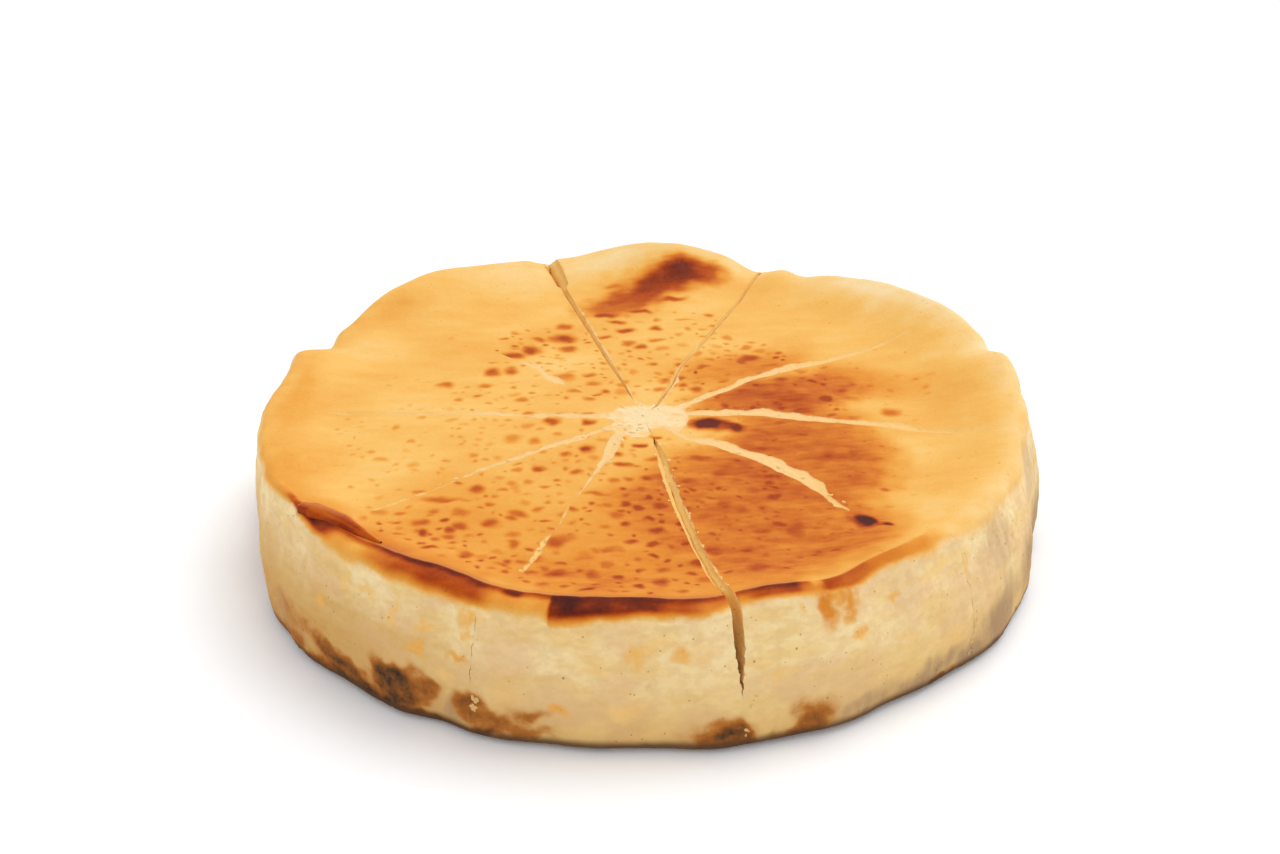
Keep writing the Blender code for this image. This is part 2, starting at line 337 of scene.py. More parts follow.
def cut_angle(cut, radius, depth, side, meet):
    """Angle in radians of a cut face at each radius and depth below the top.

    side is 1 for the face of the wedge ahead of the cut, anticlockwise, and -1 for the one behind.
    """
    closing = np.clip((1 - depth / eased(radius, cut.depth)) / (1 - OPEN_SHARE), 0, 1)
    gap = CLOSED_GAP + eased(radius, cut.opening) * closing
    if cut.opening in (CRACK, FOOT_CRACK):
        between = smoothstep(-0.3, 0.5, np.sin(CRACK_DASHES * depth + cut.angle))
        gap = gap * (1 - CRACK_BREAKS * between)
    zigzag = np.sin(1.7 * depth + cut.angle) + 0.6 * np.sin(4.3 * depth)
    jagged = CRACK_JAG * zigzag * smoothstep(*JAG_DEPTHS, depth)
    aside = eased(radius, cut.wander) + jagged + side * gap / 2
    angle = math.radians(cut.angle)
    blend = smoothstep(0, MIDDLE_REACH, radius)
    to_axis = (-math.sin(angle) * meet[0] + math.cos(angle) * meet[1]) * blend
    return angle + np.arcsin(np.clip((aside + to_axis) / radius, -0.95, 0.95))


def whole_skin(number, place, radius, from_start, from_end):
    """Distance in mm inside the edge of the whole skin; below 0 the knife tore the skin away."""
    cut, next_cut = cuts_beside(number)
    ragged = uneven(place, *TORN_EDGE)
    ragged_wide = 1.0 + uneven(place, TORN_WIDTH)
    start = from_start - eased(radius, cut.torn_ahead) * ragged_wide
    end = from_end - eased(radius, next_cut.torn_behind) * ragged_wide
    tip = (radius - SCRAPED_TIPS[number - 1] + uneven(place, TORN_TIP)) / TIP_SOFTNESS
    return np.minimum(np.minimum(start, end), tip) + ragged


# Browning
# The oven browns the skin unevenly: gold over most of it, brown right of the middle, pale where the
# rim rose, with small blisters that caught first and a few scorched places. The tin scorches the
# rim's edge and the foot.
PLAIN_TOAST = 0.32
# strength, size in mm and seed of the waves that make the browning of the top uneven
BROAD_CLOUDS = (0.045, 16, 5)
SMALL_CLOUDS = (0.02, 4, 6)
PATCH_WANDER_X = ((3.0, 14, 7), (1.0, 4, 8))
PATCH_WANDER_Y = ((3.0, 14, 9), (1.0, 4, 10))
SPOT_WANDER_X = ((0.70, 3.6, 13), (0.24, 1.4, 14))
SPOT_WANDER_Y = ((0.70, 3.6, 15), (0.24, 1.4, 16))
STREAKS = ((1.0, 2.6, 11), (0.7, 1.3, 12))
STREAK_STRETCH = (0.36, 1, 0)
STREAK_TOAST = 0.045
Patch = namedtuple("Patch", "x y along across turn toast softness")
BAKED_PATCHES = (
    Patch(6, 114, 46, 22, 0, 0.06, 0.9),
    Patch(-42, 98, 34, 20, 20, 0.20, 1.0),
    Patch(-10, 104, 26, 16, 0, 0.14, 1.0),
    Patch(92, 82, 40, 26, -40, 0.08, 0.9),
    Patch(84, 60, 26, 20, -30, 0.30, 1.0),
    Patch(92, 8, 26, 30, 0, 0.40, 1.0),
    Patch(100, -40, 20, 30, 20, 0.34, 1.0),
    Patch(30, 34, 36, 17, 20, 0.62, 0.8),
    Patch(60, 22, 38, 18, 8, 0.60, 0.9),
    Patch(40, 12, 34, 17, 10, 0.78, 0.6),
    Patch(-2, -80, 70, 56, 0, 0.56, 0.9),
    Patch(-58, -68, 50, 38, 40, 0.52, 0.9),
    Patch(-16, -94, 48, 17, -6, 0.64, 0.9),
    Patch(33, -62, 58, 46, -40, 0.70, 0.5),
    Patch(45, -26, 35, 42, -10, 0.73, 0.5),
    Patch(-84, 74, 18, 12, 30, 0.44, 1.0),
    Patch(-100, -34, 22, 30, 0, 0.43, 1.0),
    Patch(-108, 8, 11, 44, 0, 0.44, 1.0),
    Patch(-36, 52, 44, 18, 30, 0.42, 1.0),
    Patch(60, -98, 24, 11, 30, 0.46, 1.0),
    Patch(-24, -30, 26, 24, 0, 0.42, 1.0),
)
SCORCHES = (
    Patch(0, 91, 36, 20, 42, 0.56, 1.0),
    Patch(-12, 80, 17, 10, 26, 0.73, 0.9),
    Patch(-5, 83, 18, 9, 30, 0.76, 0.9),
    Patch(1, 90, 17, 11, 36, 0.84, 0.8),
    Patch(19, 99, 11, 10, 10, 0.78, 0.9),
    Patch(9, 97, 15, 13, 26, 0.88, 0.8),
    Patch(11, 99, 10, 9, 18, 0.94, 0.9),
    Patch(1, 93, 9, 7, 30, 0.90, 0.9),
    Patch(-15, 73, 6, 2.6, 4, 0.84, 0.8),
    Patch(-3, 75, 8, 2.4, 0, 0.83, 0.8),
    Patch(9, 83, 7, 2.2, 6, 0.80, 0.8),
    Patch(-11, 82, 7, 2.2, 8, 0.82, 0.8),
    Patch(17.8, -4.6, 8.4, 6.4, -4, 0.97, 0.8),
    Patch(25.4, -7.0, 6.0, 3.6, -8, 0.92, 0.8),
    Patch(2.8, -13.4, 2.8, 1.6, 0, 0.74, 0.8),
    Patch(60.6, -62.4, 4.8, 8.0, -10, 0.88, 0.9),
    Patch(61.8, -61.8, 3.4, 6.4, 8, 1.02, 0.8),
    Patch(67.4, -65.6, 4.8, 2.2, -32, 0.95, 0.8),
    Patch(111, -19, 8, 2.2, -20, 0.60, 1.0),
)
BLISTERS = {  # the large ones of each wedge: x, y, half width, half depth, toast
    1: ((33, 40, 4.5, 3.0, 0.83), (39, 34, 3.5, 2.0, 0.72), (11, 20, 2.3, 2.9, 0.78),
        (15, 17, 3.2, 2.5, 0.78), (26, 27, 9.4, 4.3, 0.62)),
    2: ((-11, 93, 3.7, 2.6, 0.66), (-7, 61, 4.3, 2.9, 0.82), (-14, 56, 4.8, 2.2, 0.76),
        (3, 62, 3.6, 3.0, 0.77), (-2, 49, 3.2, 3.2, 0.76), (-6, 51, 2.3, 2.5, 0.72),
        (-10, 67, 4.3, 2.4, 0.80), (12, 68, 5.1, 1.2, 0.62), (-4, 30, 2.5, 3.1, 0.58)),
    3: ((-27, 55, 6.6, 4.9, 0.84), (-37, 46, 5.0, 5.2, 0.82), (-43, 42, 5.4, 3.8, 0.83),
        (-27, 64, 4.2, 3.8, 0.76), (-25, 47, 4.2, 4.0, 0.78), (-35, 54, 3.8, 2.4, 0.74),
        (-26, 26, 5.9, 4.3, 0.66), (-28, 14, 4.3, 3.5, 0.60)),
    4: ((-49, 30, 3.8, 4.2, 0.80), (-43, 31, 3.4, 3.9, 0.74), (-63, 22, 4.4, 3.2, 0.72),
        (-51, 21, 4.1, 2.3, 0.70)),
    5: ((-29, -4, 4.1, 3.9, 0.80), (-18, -5, 3.2, 3.1, 0.78), (-15, 1, 5.1, 2.9, 0.70),
        (-41, -15, 4.1, 4.4, 0.60), (-34, -16, 3.1, 3.1, 0.64)),
    6: ((-18, -21, 3.6, 4.1, 0.83), (-32, -33, 2.9, 3.2, 0.81), (-21, -35, 2.4, 3.0, 0.74),
        (-50, -45, 3.6, 4.1, 0.79), (-60, -51, 8.9, 2.5, 0.77), (-54, -59, 3.6, 3.9, 0.74),
        (-45, -65, 4.4, 4.3, 0.78), (-65, -65, 3.7, 3.9, 0.77), (-37, -59, 3.7, 3.1, 0.77),
        (-51, -84, 3.7, 3.9, 0.81), (-38, -76, 2.4, 3.7, 0.74), (-60, -75, 2.3, 2.5, 0.78)),
    7: ((-7, -30, 4.5, 2.3, 0.82), (0, -38, 3.2, 3.1, 0.84), (-2, -19, 2.6, 2.0, 0.85),
        (-9, -24, 2.9, 2.3, 0.80), (-1, -45, 2.9, 2.4, 0.78), (-15, -47, 5.9, 1.8, 0.75),
        (-26, -75, 4.3, 5.4, 0.82), (-25, -93, 5.6, 3.7, 0.80), (-15, -93, 2.9, 4.5, 0.81),
        (4, -98, 3.0, 5.1, 0.82), (-29, -89, 2.9, 3.0, 0.80)),
    8: ((16, -26, 5.6, 2.4, 0.81), (12, -40, 3.7, 2.4, 0.79), (23, -35, 5.6, 2.4, 0.82),
        (22, -53, 2.9, 3.7, 0.82), (17, -60, 4.4, 2.4, 0.77), (33, -68, 3.7, 2.4, 0.81),
        (19, -79, 4.5, 3.7, 0.83), (43, -67, 3.1, 6.2, 0.81), (31, -89, 4.8, 4.5, 0.81),
        (40, -86, 4.1, 2.3, 0.75), (57, -77, 3.6, 2.0, 0.66)),
    9: ((47, -11, 4.3, 1.3, 0.81), (62, -23, 2.4, 1.7, 0.80), (70, -44, 2.9, 1.7, 0.78)),
    10: ((42, 24, 4.4, 2.8, 0.83), (41, 16, 2.4, 2.5, 0.82), (30, 13, 6.7, 6.1, 0.79),
        (49, 30, 2.6, 2.4, 0.72), (59, 29, 3.5, 2.4, 0.60), (53, 17, 3.5, 1.8, 0.78),
        (47, 11, 6.5, 3.2, 0.82), (48, 3, 5.0, 3.0, 0.85), (75, 3, 4.1, 4.1, 0.68)),
}
BLISTER_SOFTNESS = 0.80
BLISTER_STREAKS = 0.03
FRECKLE_GROUPS = {  # wedge: inner and outer reach, count, smallest and largest half size, toast
    1: ((14, 62, 56, 1.0, 3.0, 0.26),),
    2: ((14, 76, 56, 1.0, 3.0, 0.32),),
    3: ((14, 72, 50, 1.0, 3.0, 0.36),),
    4: ((14, 62, 42, 1.0, 2.8, 0.30), (56, 84, 12, 0.8, 1.6, 0.14)),
    5: ((16, 60, 34, 1.0, 2.4, 0.22), (54, 98, 40, 0.9, 2.2, 0.20)),
    6: ((12, 60, 32, 1.1, 2.7, 0.28), (56, 104, 74, 1.2, 3.3, 0.29)),
    7: ((12, 60, 42, 1.1, 3.0, 0.26), (56, 106, 66, 1.2, 3.3, 0.25)),
    8: ((14, 60, 46, 1.0, 2.6, 0.14), (56, 100, 50, 1.0, 2.4, 0.12)),
    9: ((18, 62, 20, 0.8, 1.8, 0.10), (58, 96, 30, 0.8, 1.8, 0.10)),
    10: ((14, 66, 46, 0.9, 2.8, 0.20), (60, 96, 18, 0.9, 2.0, 0.15)),
}
FRECKLE_SEED = 41
FRECKLE_TRIES = 12
FRECKLES_APART = 0.9  # share of the half sizes of two neighbours that lies between their middles
FRECKLES_SMALL = 2.2  # the higher it is, the fewer are large
FRECKLE_SOFTNESS = 0.8
DARKEST_FRECKLE = 0.86
Rim = namedtuple("Rim", "angle crest under reach glow soft")
# toast of the crest and of the skin just below it; how far down that skin reaches and how softly it
# ends there; and how much browner the top is inside the rim
RIM = (
    Rim(0, 0.00, 0.20, 7.0, -0.02, 6.0),
    Rim(24, 0.00, 0.13, 6.0, -0.10, 6.0),
    Rim(48, 0.00, 0.13, 5.0, -0.12, 5.0),
    Rim(75, 0.00, 0.22, 4.0, -0.02, 3.0),
    Rim(110, 0.00, 0.22, 4.0, -0.04, 3.0),
    Rim(150, 0.00, 0.36, 4.0, 0.02, 3.0),
    Rim(185, 0.00, 0.38, 4.0, 0.04, 2.6),
    Rim(201, 0.20, 0.50, 3.6, 0.08, 2.0),
    Rim(205.5, 0.52, 0.54, 2.6, 0.10, 1.2),
    Rim(208, 0.76, 0.70, 1.8, 0.14, 0.8),
    # from here to 218 degrees the rim is painted dark: painted shade of the hollow under the peeled skin,
    # over scorched skin
    Rim(211, 0.86, 0.94, 2.8, 0.18, 0.7),
    Rim(215, 0.95, 0.98, 3.6, 0.16, 0.8),
    Rim(218, 0.92, 0.86, 4.4, 0.16, 1.0),
    Rim(221.5, 0.86, 0.54, 5.4, 0.22, 2.0),
    Rim(225.0, 0.82, 0.43, 6.6, 0.22, 3.0),
    Rim(229, 0.93, 0.68, 5.2, 0.20, 2.4),
    Rim(235, 0.98, 0.82, 6.2, 0.18, 2.4),
    Rim(241, 0.97, 0.87, 7.8, 0.17, 2.4),
    Rim(246, 0.94, 0.85, 7.4, 0.15, 2.4),
    Rim(249.6, 0.88, 0.54, 5.6, 0.12, 2.4),
    Rim(253.6, 0.88, 0.50, 5.4, 0.12, 2.2),
    Rim(256.4, 0.88, 0.54, 6.0, 0.12, 1.8),
    Rim(257.0, 1.00, 0.95, 8.2, 0.12, 1.3),
    Rim(263, 1.00, 0.97, 7.2, 0.14, 1.5),
    Rim(268, 0.98, 0.92, 6.2, 0.16, 1.6),
    Rim(274, 0.95, 0.85, 5.0, 0.16, 1.8),
    Rim(279, 0.91, 0.70, 4.2, 0.16, 1.8),
    Rim(283, 0.84, 0.60, 3.2, 0.12, 1.6),
    Rim(286, 0.95, 0.84, 3.0, 0.12, 1.3),
    Rim(291, 0.98, 0.85, 3.0, 0.12, 1.3),
    Rim(293.2, 0.78, 0.66, 3.2, 0.00, 1.4),
    Rim(294.3, 0.34, 0.60, 3.2, -0.10, 1.4),
    Rim(295.8, 0.85, 0.80, 3.4, -0.12, 1.4),
    Rim(300, 0.81, 0.76, 3.8, -0.16, 1.7),
    Rim(307, 0.68, 0.64, 4.2, -0.17, 2.0),
    Rim(313, 0.56, 0.57, 5.0, -0.12, 2.3),
    Rim(316.6, 0.40, 0.48, 4.0, -0.06, 2.6),
    Rim(319.5, 0.00, 0.26, 4.0, 0.00, 4.0),
    Rim(326, 0.00, 0.22, 7.0, -0.02, 6.0),
    Rim(344, 0.00, 0.22, 7.0, 0.00, 6.0),
    Rim(360, 0.00, 0.20, 7.0, -0.02, 6.0),
)
LIP_INSET = (  # angle, and how far inside the rim's crest its browned lip stands
    (0, 0.0), (209, 0.0), (213, 2.6), (228, 2.8), (244, 3.0), (254, 2.4), (268, 1.4), (284, 2.2),
    (292, 1.6), (297, 0.5), (312, 0.6), (320, 0.0), (360, 0.0),
)
CREST_PAST = 0.7  # how far the darkest line of the lip lies past its crest; it is scorched skin with painted shade under the overhanging lip
CREST_WIDTH = 1.9
# a painted lilac highlight runs just inside the scorched lip, where it faces the sky
HIGHLIGHT_INSIDE = 1.6
HIGHLIGHT_WIDTH = 2.6
GLOW_WIDTH = 13.0
PALE_SHOULDER = 6.0  # width over which an unscorched rim turns pale
UNDER_EDGE_TOAST = 0.34
SideMark = namedtuple("SideMark", "angle height along across turn shade")
LIP_BLISTER = SideMark(251.2, 1.2, 4.2, 2.2, 0, 0.95)  # its height is how far it lies past the lip
SIDE_STAINS = (  # caramelised drips and stains; shade is their toast
    SideMark(294.8, 39.6, 6.4, 10.4, 10, 0.52),
    SideMark(294.4, 41.6, 4.4, 6.4, 0, 0.60),
    SideMark(298.4, 40.4, 4.4, 9.4, -16, 0.53),
    SideMark(296.4, 42.8, 12.0, 6.4, 0, 0.44),
    SideMark(290.6, 41.0, 3.6, 4.0, 20, 0.26),
    SideMark(306.2, 36.6, 2.0, 2.0, 0, 0.36),
    SideMark(299.7, 30.4, 5.0, 6.0, 20, 0.39),
    SideMark(306.6, 36.6, 3.6, 2.9, 10, 0.36),
    SideMark(268.8, 32.0, 8.4, 5.0, 5, 0.33),
    SideMark(274.4, 32.2, 4.2, 4.8, 0, 0.35),
    SideMark(271.5, 35.4, 10.0, 3.2, 0, 0.21),
    SideMark(262.9, 26.4, 8.0, 3.4, 0, 0.22),
    SideMark(258.6, 13.4, 6.5, 4.6, 0, 0.41),
    SideMark(267.0, 14.0, 8.0, 4.6, 0, 0.21),
    SideMark(221.4, 26.2, 3.4, 6.4, -12, 0.36),
    SideMark(238.6, 25.0, 5.0, 4.6, -16, 0.37),
    SideMark(244.9, 26.4, 6.6, 3.2, -8, 0.46),
    SideMark(240.0, 31.6, 7.0, 3.6, 8, 0.30),
    SideMark(242.6, 19.3, 6.0, 4.0, 0, 0.23),
    SideMark(235.0, 33.8, 3.8, 9.0, 4, 0.25),
    SideMark(225.6, 35.6, 4.6, 9.0, 0, 0.24),
    SideMark(246.3, 39.0, 5.4, 9.0, 0, 0.34),
    SideMark(246.7, 33.2, 3.2, 6.4, 0, 0.29),
    SideMark(230.0, 36.4, 9.0, 3.4, 12, 0.25),
    SideMark(316.0, 39.0, 12.0, 5.0, 0, 0.18),
    SideMark(320.2, 33.0, 3.0, 9.0, 0, 0.23),
    SideMark(287.0, 24.0, 7.0, 3.6, 0, 0.21),
    SideMark(20.0, 30.0, 5.0, 3.8, 0, 0.34),
    SideMark(51.0, 24.0, 6.2, 2.9, 0, 0.36),
    SideMark(83.0, 33.0, 3.6, 6.5, 0, 0.40),
    SideMark(121.0, 20.0, 6.7, 3.1, 0, 0.36),
    SideMark(160.0, 28.0, 4.8, 2.9, 0, 0.38),
)
FOOT_SCORCHES = (  # where the tin caught the foot; shade runs from 0, none, to 1, burnt black
    SideMark(206, 12, 20, 14, -20, 0.30),
    SideMark(214, 13.5, 14, 8, -10, 0.42),
    SideMark(224.0, 10.0, 24, 6.8, -22, 0.66),
    SideMark(226.8, 8.2, 16, 5.8, -22, 0.78),
    SideMark(214, 3, 30, 7, -8, 0.50),
    SideMark(220.5, 3.0, 26, 6.4, -14, 0.60),
    SideMark(227.5, 3.4, 20, 6.4, -10, 0.74),
    SideMark(235.6, 10.6, 20, 14, -10, 0.48),
    SideMark(235.6, 11.4, 13, 10, -14, 0.76),
    SideMark(234.6, 13.0, 9, 8, 0, 0.86),
    SideMark(237.0, 7.4, 10, 7, -10, 0.86),
    SideMark(240.2, 12.0, 5, 8, 20, 0.62),
    SideMark(233, 2.6, 36, 5.0, -4, 0.92),
    SideMark(241, 2.0, 18, 4.0, -4, 1.00),
    SideMark(246.8, 12.6, 9, 7.5, 0, 0.76),
    SideMark(249.4, 8.0, 17, 7.0, -10, 0.60),
    SideMark(247, 2.0, 18, 4.0, 0, 0.84),
    SideMark(254.6, 12.2, 9, 4.5, 6, 0.52),
    SideMark(253.8, 6.4, 17, 5.0, 0, 0.56),
    SideMark(278.6, 5.0, 20, 11, 12, 0.50),
    SideMark(280.4, 4.6, 13, 10, 10, 0.78),
    SideMark(283.0, 5.0, 4.5, 8, 16, 0.74),
    SideMark(292.4, 8.0, 12, 12, 30, 0.62),
    SideMark(291.0, 2.4, 15, 7, 8, 0.70),
    SideMark(313.5, 1.0, 22, 3.8, 0, 0.86),
    SideMark(38, 8, 22, 14, 0, 0.64),
    SideMark(47, 4, 26, 10, 0, 0.74),
    SideMark(98, 7, 20, 13, 0, 0.70),
    SideMark(128, 4, 32, 9, 0, 0.56),
    SideMark(150, 8, 20, 13, 0, 0.76),
    SideMark(172, 4, 30, 10, 0, 0.64),
    SideMark(190, 8, 26, 13, 0, 0.56),
)
GREY_PATCHES = (  # where the foot steamed against the tin; shade is how far it turned grey
    SideMark(244.6, 9.6, 6.0, 9.0, 0, 0.80),
    SideMark(213.4, 9.0, 18, 9.4, -24, 0.85),
    SideMark(300, 6, 26, 8.0, 6, 0.55),
    SideMark(312, 7, 26, 9.0, 8, 0.75),
    SideMark(321, 5, 15, 8.5, 14, 0.85),
    SideMark(328, 10, 26, 17, 24, 0.82),
    SideMark(342, 14, 24, 20, 20, 0.76),
    SideMark(356, 12, 24, 18, 0, 0.80),
    SideMark(330, 32, 24, 22, 0, 0.40),
    SideMark(350, 32, 30, 22, 0, 0.42),
    SideMark(15, 8, 26, 13, 0, 0.70),
    SideMark(75, 7, 28, 12, 0, 0.60),
    SideMark(140, 8, 30, 13, 0, 0.60),
    SideMark(186, 12, 26, 14, 0, 0.60),
)
SIDE_MIDDLE_RADIUS = 122.0
STAIN_DENSITY = 0.50
# strength, size in mm and seed of the waves in the outlines of the marks on the side
MARK_WANDER_ROUND = ((1.6, 7, 31), (0.8, 2.4, 32))
MARK_WANDER_UP = ((1.4, 7, 33), (0.8, 2.4, 34))
STAIN_FRAY_ROUND = (0.7, 1.6, 35)
STAIN_FRAY_UP = (0.7, 1.6, 36)
SCORCH_SOFTNESS = 0.85
GREY_SOFTNESS = 0.9
SHADED_SIDE_AT = 216.0  # painted shade: the side that faces away from the light is painted darker here
SHADED_SIDE_WIDTH = 52
SHADED_SIDE_SHARE = 0.9


def oval(u, v, mark, softness):
    """1 inside an oval mark, falling to 0 at its edge; softness 1 starts the fall at its middle."""
    turn = math.radians(mark.turn)
    along = u * math.cos(turn) + v * math.sin(turn)
    across = v * math.cos(turn) - u * math.sin(turn)
    return 1 - smoothstep(1 - softness, 1, np.hypot(along / mark.along, across / mark.across))


def blended(value, goal, share):
    return value + (goal - value) * share


def rim_value(degrees, name):
    return eased(degrees % 360, [(rim.angle, getattr(rim, name)) for rim in RIM])


def freckle_marks(number, start, end):
    """One wedge's small freckles, kept apart from each other and from its large blisters."""
    draw = random.Random(FRECKLE_SEED + number)
    large = [(x, y, wide) for x, y, wide, _, _ in BLISTERS[number]]
    marks = []
    for inner, outer, count, smallest, largest, toast in FRECKLE_GROUPS[number]:
        for _ in range(count):
            for _ in range(FRECKLE_TRIES):
                reach = math.sqrt(draw.uniform(inner**2, outer**2))
                at = math.radians(draw.uniform(start, end))
                x = CUTS_MEET[0] + reach * math.cos(at)
                y = CUTS_MEET[1] + reach * math.sin(at)
                size = smallest + (largest - smallest) * draw.random() ** FRECKLES_SMALL
                near = large + [(m.x, m.y, m.along) for m in marks]
                if all(math.hypot(x - u, y - v) > FRECKLES_APART * (size + wide) for u, v, wide in near):
                    break
            along = size * draw.uniform(0.9, 1.5)
            across = size * draw.uniform(0.7, 1.2)
            shade = toast * draw.uniform(0.4, 1.25)
            marks.append(Patch(x, y, along, across, draw.gauss(0, 14), shade, FRECKLE_SOFTNESS))
    return marks


def top_toast(number, place):
    """How toasted the skin of the top is, from 0, pale cream, to 1, black."""
    cut, next_cut = cuts_beside(number)
    start = cut.angle
    end = next_cut.angle if next_cut.angle > start else next_cut.angle + 360
    x, y = place[:, 0], place[:, 1]
    flat = place * (1, 1, 0)
    toast = PLAIN_TOAST + uneven(flat, BROAD_CLOUDS) + uneven(flat * (0.5, 1, 0), SMALL_CLOUDS)
    wander_x = uneven(flat, *PATCH_WANDER_X)
    wander_y = uneven(flat, *PATCH_WANDER_Y)
    for mark in BAKED_PATCHES:
        shade = oval(x + wander_x - mark.x, y + wander_y - mark.y, mark, mark.softness)
        toast = blended(toast, mark.toast, shade)
    streaks = uneven(flat * STREAK_STRETCH, *STREAKS)
    toast = toast + STREAK_TOAST * smoothstep(0.42, 0.72, toast) * streaks
    rough_x = uneven(flat, *SPOT_WANDER_X)
    rough_y = uneven(flat, *SPOT_WANDER_Y)
    freckles = np.zeros(len(place))
    for mark in freckle_marks(number, start, end):
        near = np.hypot(x - mark.x, y - mark.y) < 1.6 * mark.along + 1.5
        u = x[near] + rough_x[near] - mark.x
        v = y[near] + rough_y[near] - mark.y
        freckles[near] = np.maximum(freckles[near], mark.toast * oval(u, v, mark, mark.softness))
    toast = np.maximum(toast, np.minimum(toast + freckles, DARKEST_FRECKLE))
    for middle_x, middle_y, wide, deep, shade in BLISTERS[number]:
        mark = Patch(middle_x, middle_y, wide, deep, 0, shade, BLISTER_SOFTNESS)
        near = np.hypot(x - mark.x, y - mark.y) < 1.4 * max(wide, deep) + 1.5
        u = x[near] + rough_x[near] - mark.x
        v = y[near] + rough_y[near] - mark.y
        darker = np.maximum(toast[near], mark.toast + BLISTER_STREAKS * streaks[near])
        toast[near] = blended(toast[near], darker, oval(u, v, mark, mark.softness))
    for mark in SCORCHES:
        u = x + 0.5 * wander_x + rough_x - mark.x
        v = y + 0.5 * wander_y + rough_y - mark.y
        shade = oval(u, v, mark, mark.softness)
        shade = np.clip(shade * (1.1 + 0.45 * streaks * (1 - shade)), 0, 1)
        toast = blended(toast, np.maximum(mark.toast, toast), shade)
    return toast


def rim_toast(toast, place, degrees, past):
    """The top's toast with the rim's browning added, how much skin covers the side, and its painted
    highlight.
    """
    wobble = ripple(place * (1, 1, 0.6), 5.5, 19)
    fine = ripple(place * (0.35, 0.35, 1), 1.6, 20)
    broad = ripple(place * (1, 1, 0.3), 15, 18)
    inset = eased(degrees, LIP_INSET)
    past = past + inset
    # the top turns browner towards the rim
    toast = toast + rim_value(degrees, "glow") * smoothstep(-GLOW_WIDTH, 0, past + 2.0 * wobble)
    level = rim_value(degrees, "crest")
    strength = smoothstep(0.2, 0.6, level)
    # the lip's darkest line: scorched skin, with painted shade under the overhanging lip
    crest = strength * hump(past - CREST_PAST + 0.25 * wobble, CREST_WIDTH)
    # painted highlight just inside the lip's crest
    highlight = strength * hump(past + HIGHLIGHT_INSIDE + 0.3 * wobble, HIGHLIGHT_WIDTH)
    # the skin below the crest, lighter at its lower edge
    reach = inset + rim_value(degrees, "reach") * (1 + 0.10 * wobble + 0.16 * broad)
    under = rim_value(degrees, "under") + 0.035 * fine
    under = blended(under, UNDER_EDGE_TOAST, smoothstep(0.58, 1.04, past / reach))
    begins = -0.6 - PALE_SHOULDER * (1 - strength)
    toast = blended(toast, under, smoothstep(begins, 1.2 + 2 * (1 - strength), past))
    toast = blended(toast, level + 0.03 * fine, crest)
    u = np.radians(degrees_between(degrees, LIP_BLISTER.angle)) * RIM_RADIUS
    burnt = oval(u + 0.5 * wobble, past + 0.3 * fine - LIP_BLISTER.height, LIP_BLISTER, 0.7)
    toast = toast + np.maximum(0, LIP_BLISTER.shade - toast) * burnt
    soft = rim_value(degrees, "soft")
    flaky = 0.25 * fine + 0.35 * strength * ripple(place, 1.8, 17)
    cover = 1 - smoothstep(-soft, soft, past - reach + flaky)
    return toast, cover, highlight * smoothstep(0.80, 0.93, level)


def round_side(degrees, mark):
    """How far round the side a point lies from the middle of a mark, in mm."""
    return np.radians(degrees_between(degrees, mark.angle)) * SIDE_MIDDLE_RADIUS


def side_stains(place, degrees, height):
    """Toast and cover of the stains on the side, how scorched the foot is, and how grey."""
    wander_u = uneven(place, *MARK_WANDER_ROUND)
    wander_v = uneven(place, *MARK_WANDER_UP)
    torn_u = uneven(place, STAIN_FRAY_ROUND)
    torn_v = uneven(place, STAIN_FRAY_UP)
    toast, cover, scorch, grey = np.zeros((4, len(place)))
    for mark in SIDE_STAINS:
        u = round_side(degrees, mark) + 0.8 * wander_u + torn_u
        shade = oval(u, height + 0.8 * wander_v + torn_v - mark.height, mark, 1.0)
        toast = np.maximum(toast, mark.shade * smoothstep(0, 0.3, shade))
        cover = np.maximum(cover, min(0.96, STAIN_DENSITY + 0.8 * mark.shade) * shade)
    for mark in FOOT_SCORCHES:
        u = round_side(degrees, mark) + wander_u
        shade = oval(u, height + wander_v - mark.height, mark, SCORCH_SOFTNESS)
        scorch = blended(scorch, np.maximum(scorch, mark.shade), shade)
    for mark in GREY_PATCHES:
        u = round_side(degrees, mark) + wander_u
        shade = oval(u, height + wander_v - mark.height, mark, GREY_SOFTNESS)
        grey = np.maximum(grey, mark.shade * shade)
    return toast, cover, scorch, grey


# The wedges
# Each wedge is one piece of cake: browned skin over pale crumb. Its top and side are one sheet of
# small faces from the tip to the foot, closed by its two cut faces and its flat underside.
ROW_STEP = 0.60
ROW_BLOCKS = ((APEX_RADIUS, 14.0, 16), (14.0, 28.0, 32), (28.0, 56.0, 64), (56.0, RIM_RADIUS, 128))
EDGE_CROWDING = 0.5
SHOULDER_ROWS = 13
SIDE_ROWS = 58
FOOT_ROWS = 9
LIP_RISE = 0.9
LIP_PAST = 0.4  # how far the middle of the raised lip lies past its crest
LIP_WIDTH = 2.6
SKIN_THICKNESS = 0.45
TORN_DEPTH = 0.24
CRUMB_ROUGHNESS = 0.10
BLISTER_RISE = 0.07
# strength, size in mm and seed of the waves in the surface
SOFT_SWELLS = ((0.22, 17, 43), (0.07, 5, 44))
CRUMB_GRAIN = ((1.0, 1.3, 41), (0.6, 0.7, 42))
SIDE_RIDGES = (0.22, 6.5, 46)
SIDE_STROKES = (0.12, 3.4, 48)
SIDE_GRAIN = (0.05, 1.5, 50)
CREASE_DEPTH = 0.30
PIT_DEPTH = 0.5
OPEN_FACE_SPACING = 1.6
OPEN_FACE_ROWS = (0.3, 0.8, 1.3, 1.9, 2.6)  # how far inside an open face's edge its fine rows lie
CLOSED_FACE_SPACING = 5.0
OPEN_FROM = 0.5  # a cut that opens further than this has open faces
OPEN_FACE_ROUGHNESS = 0.12


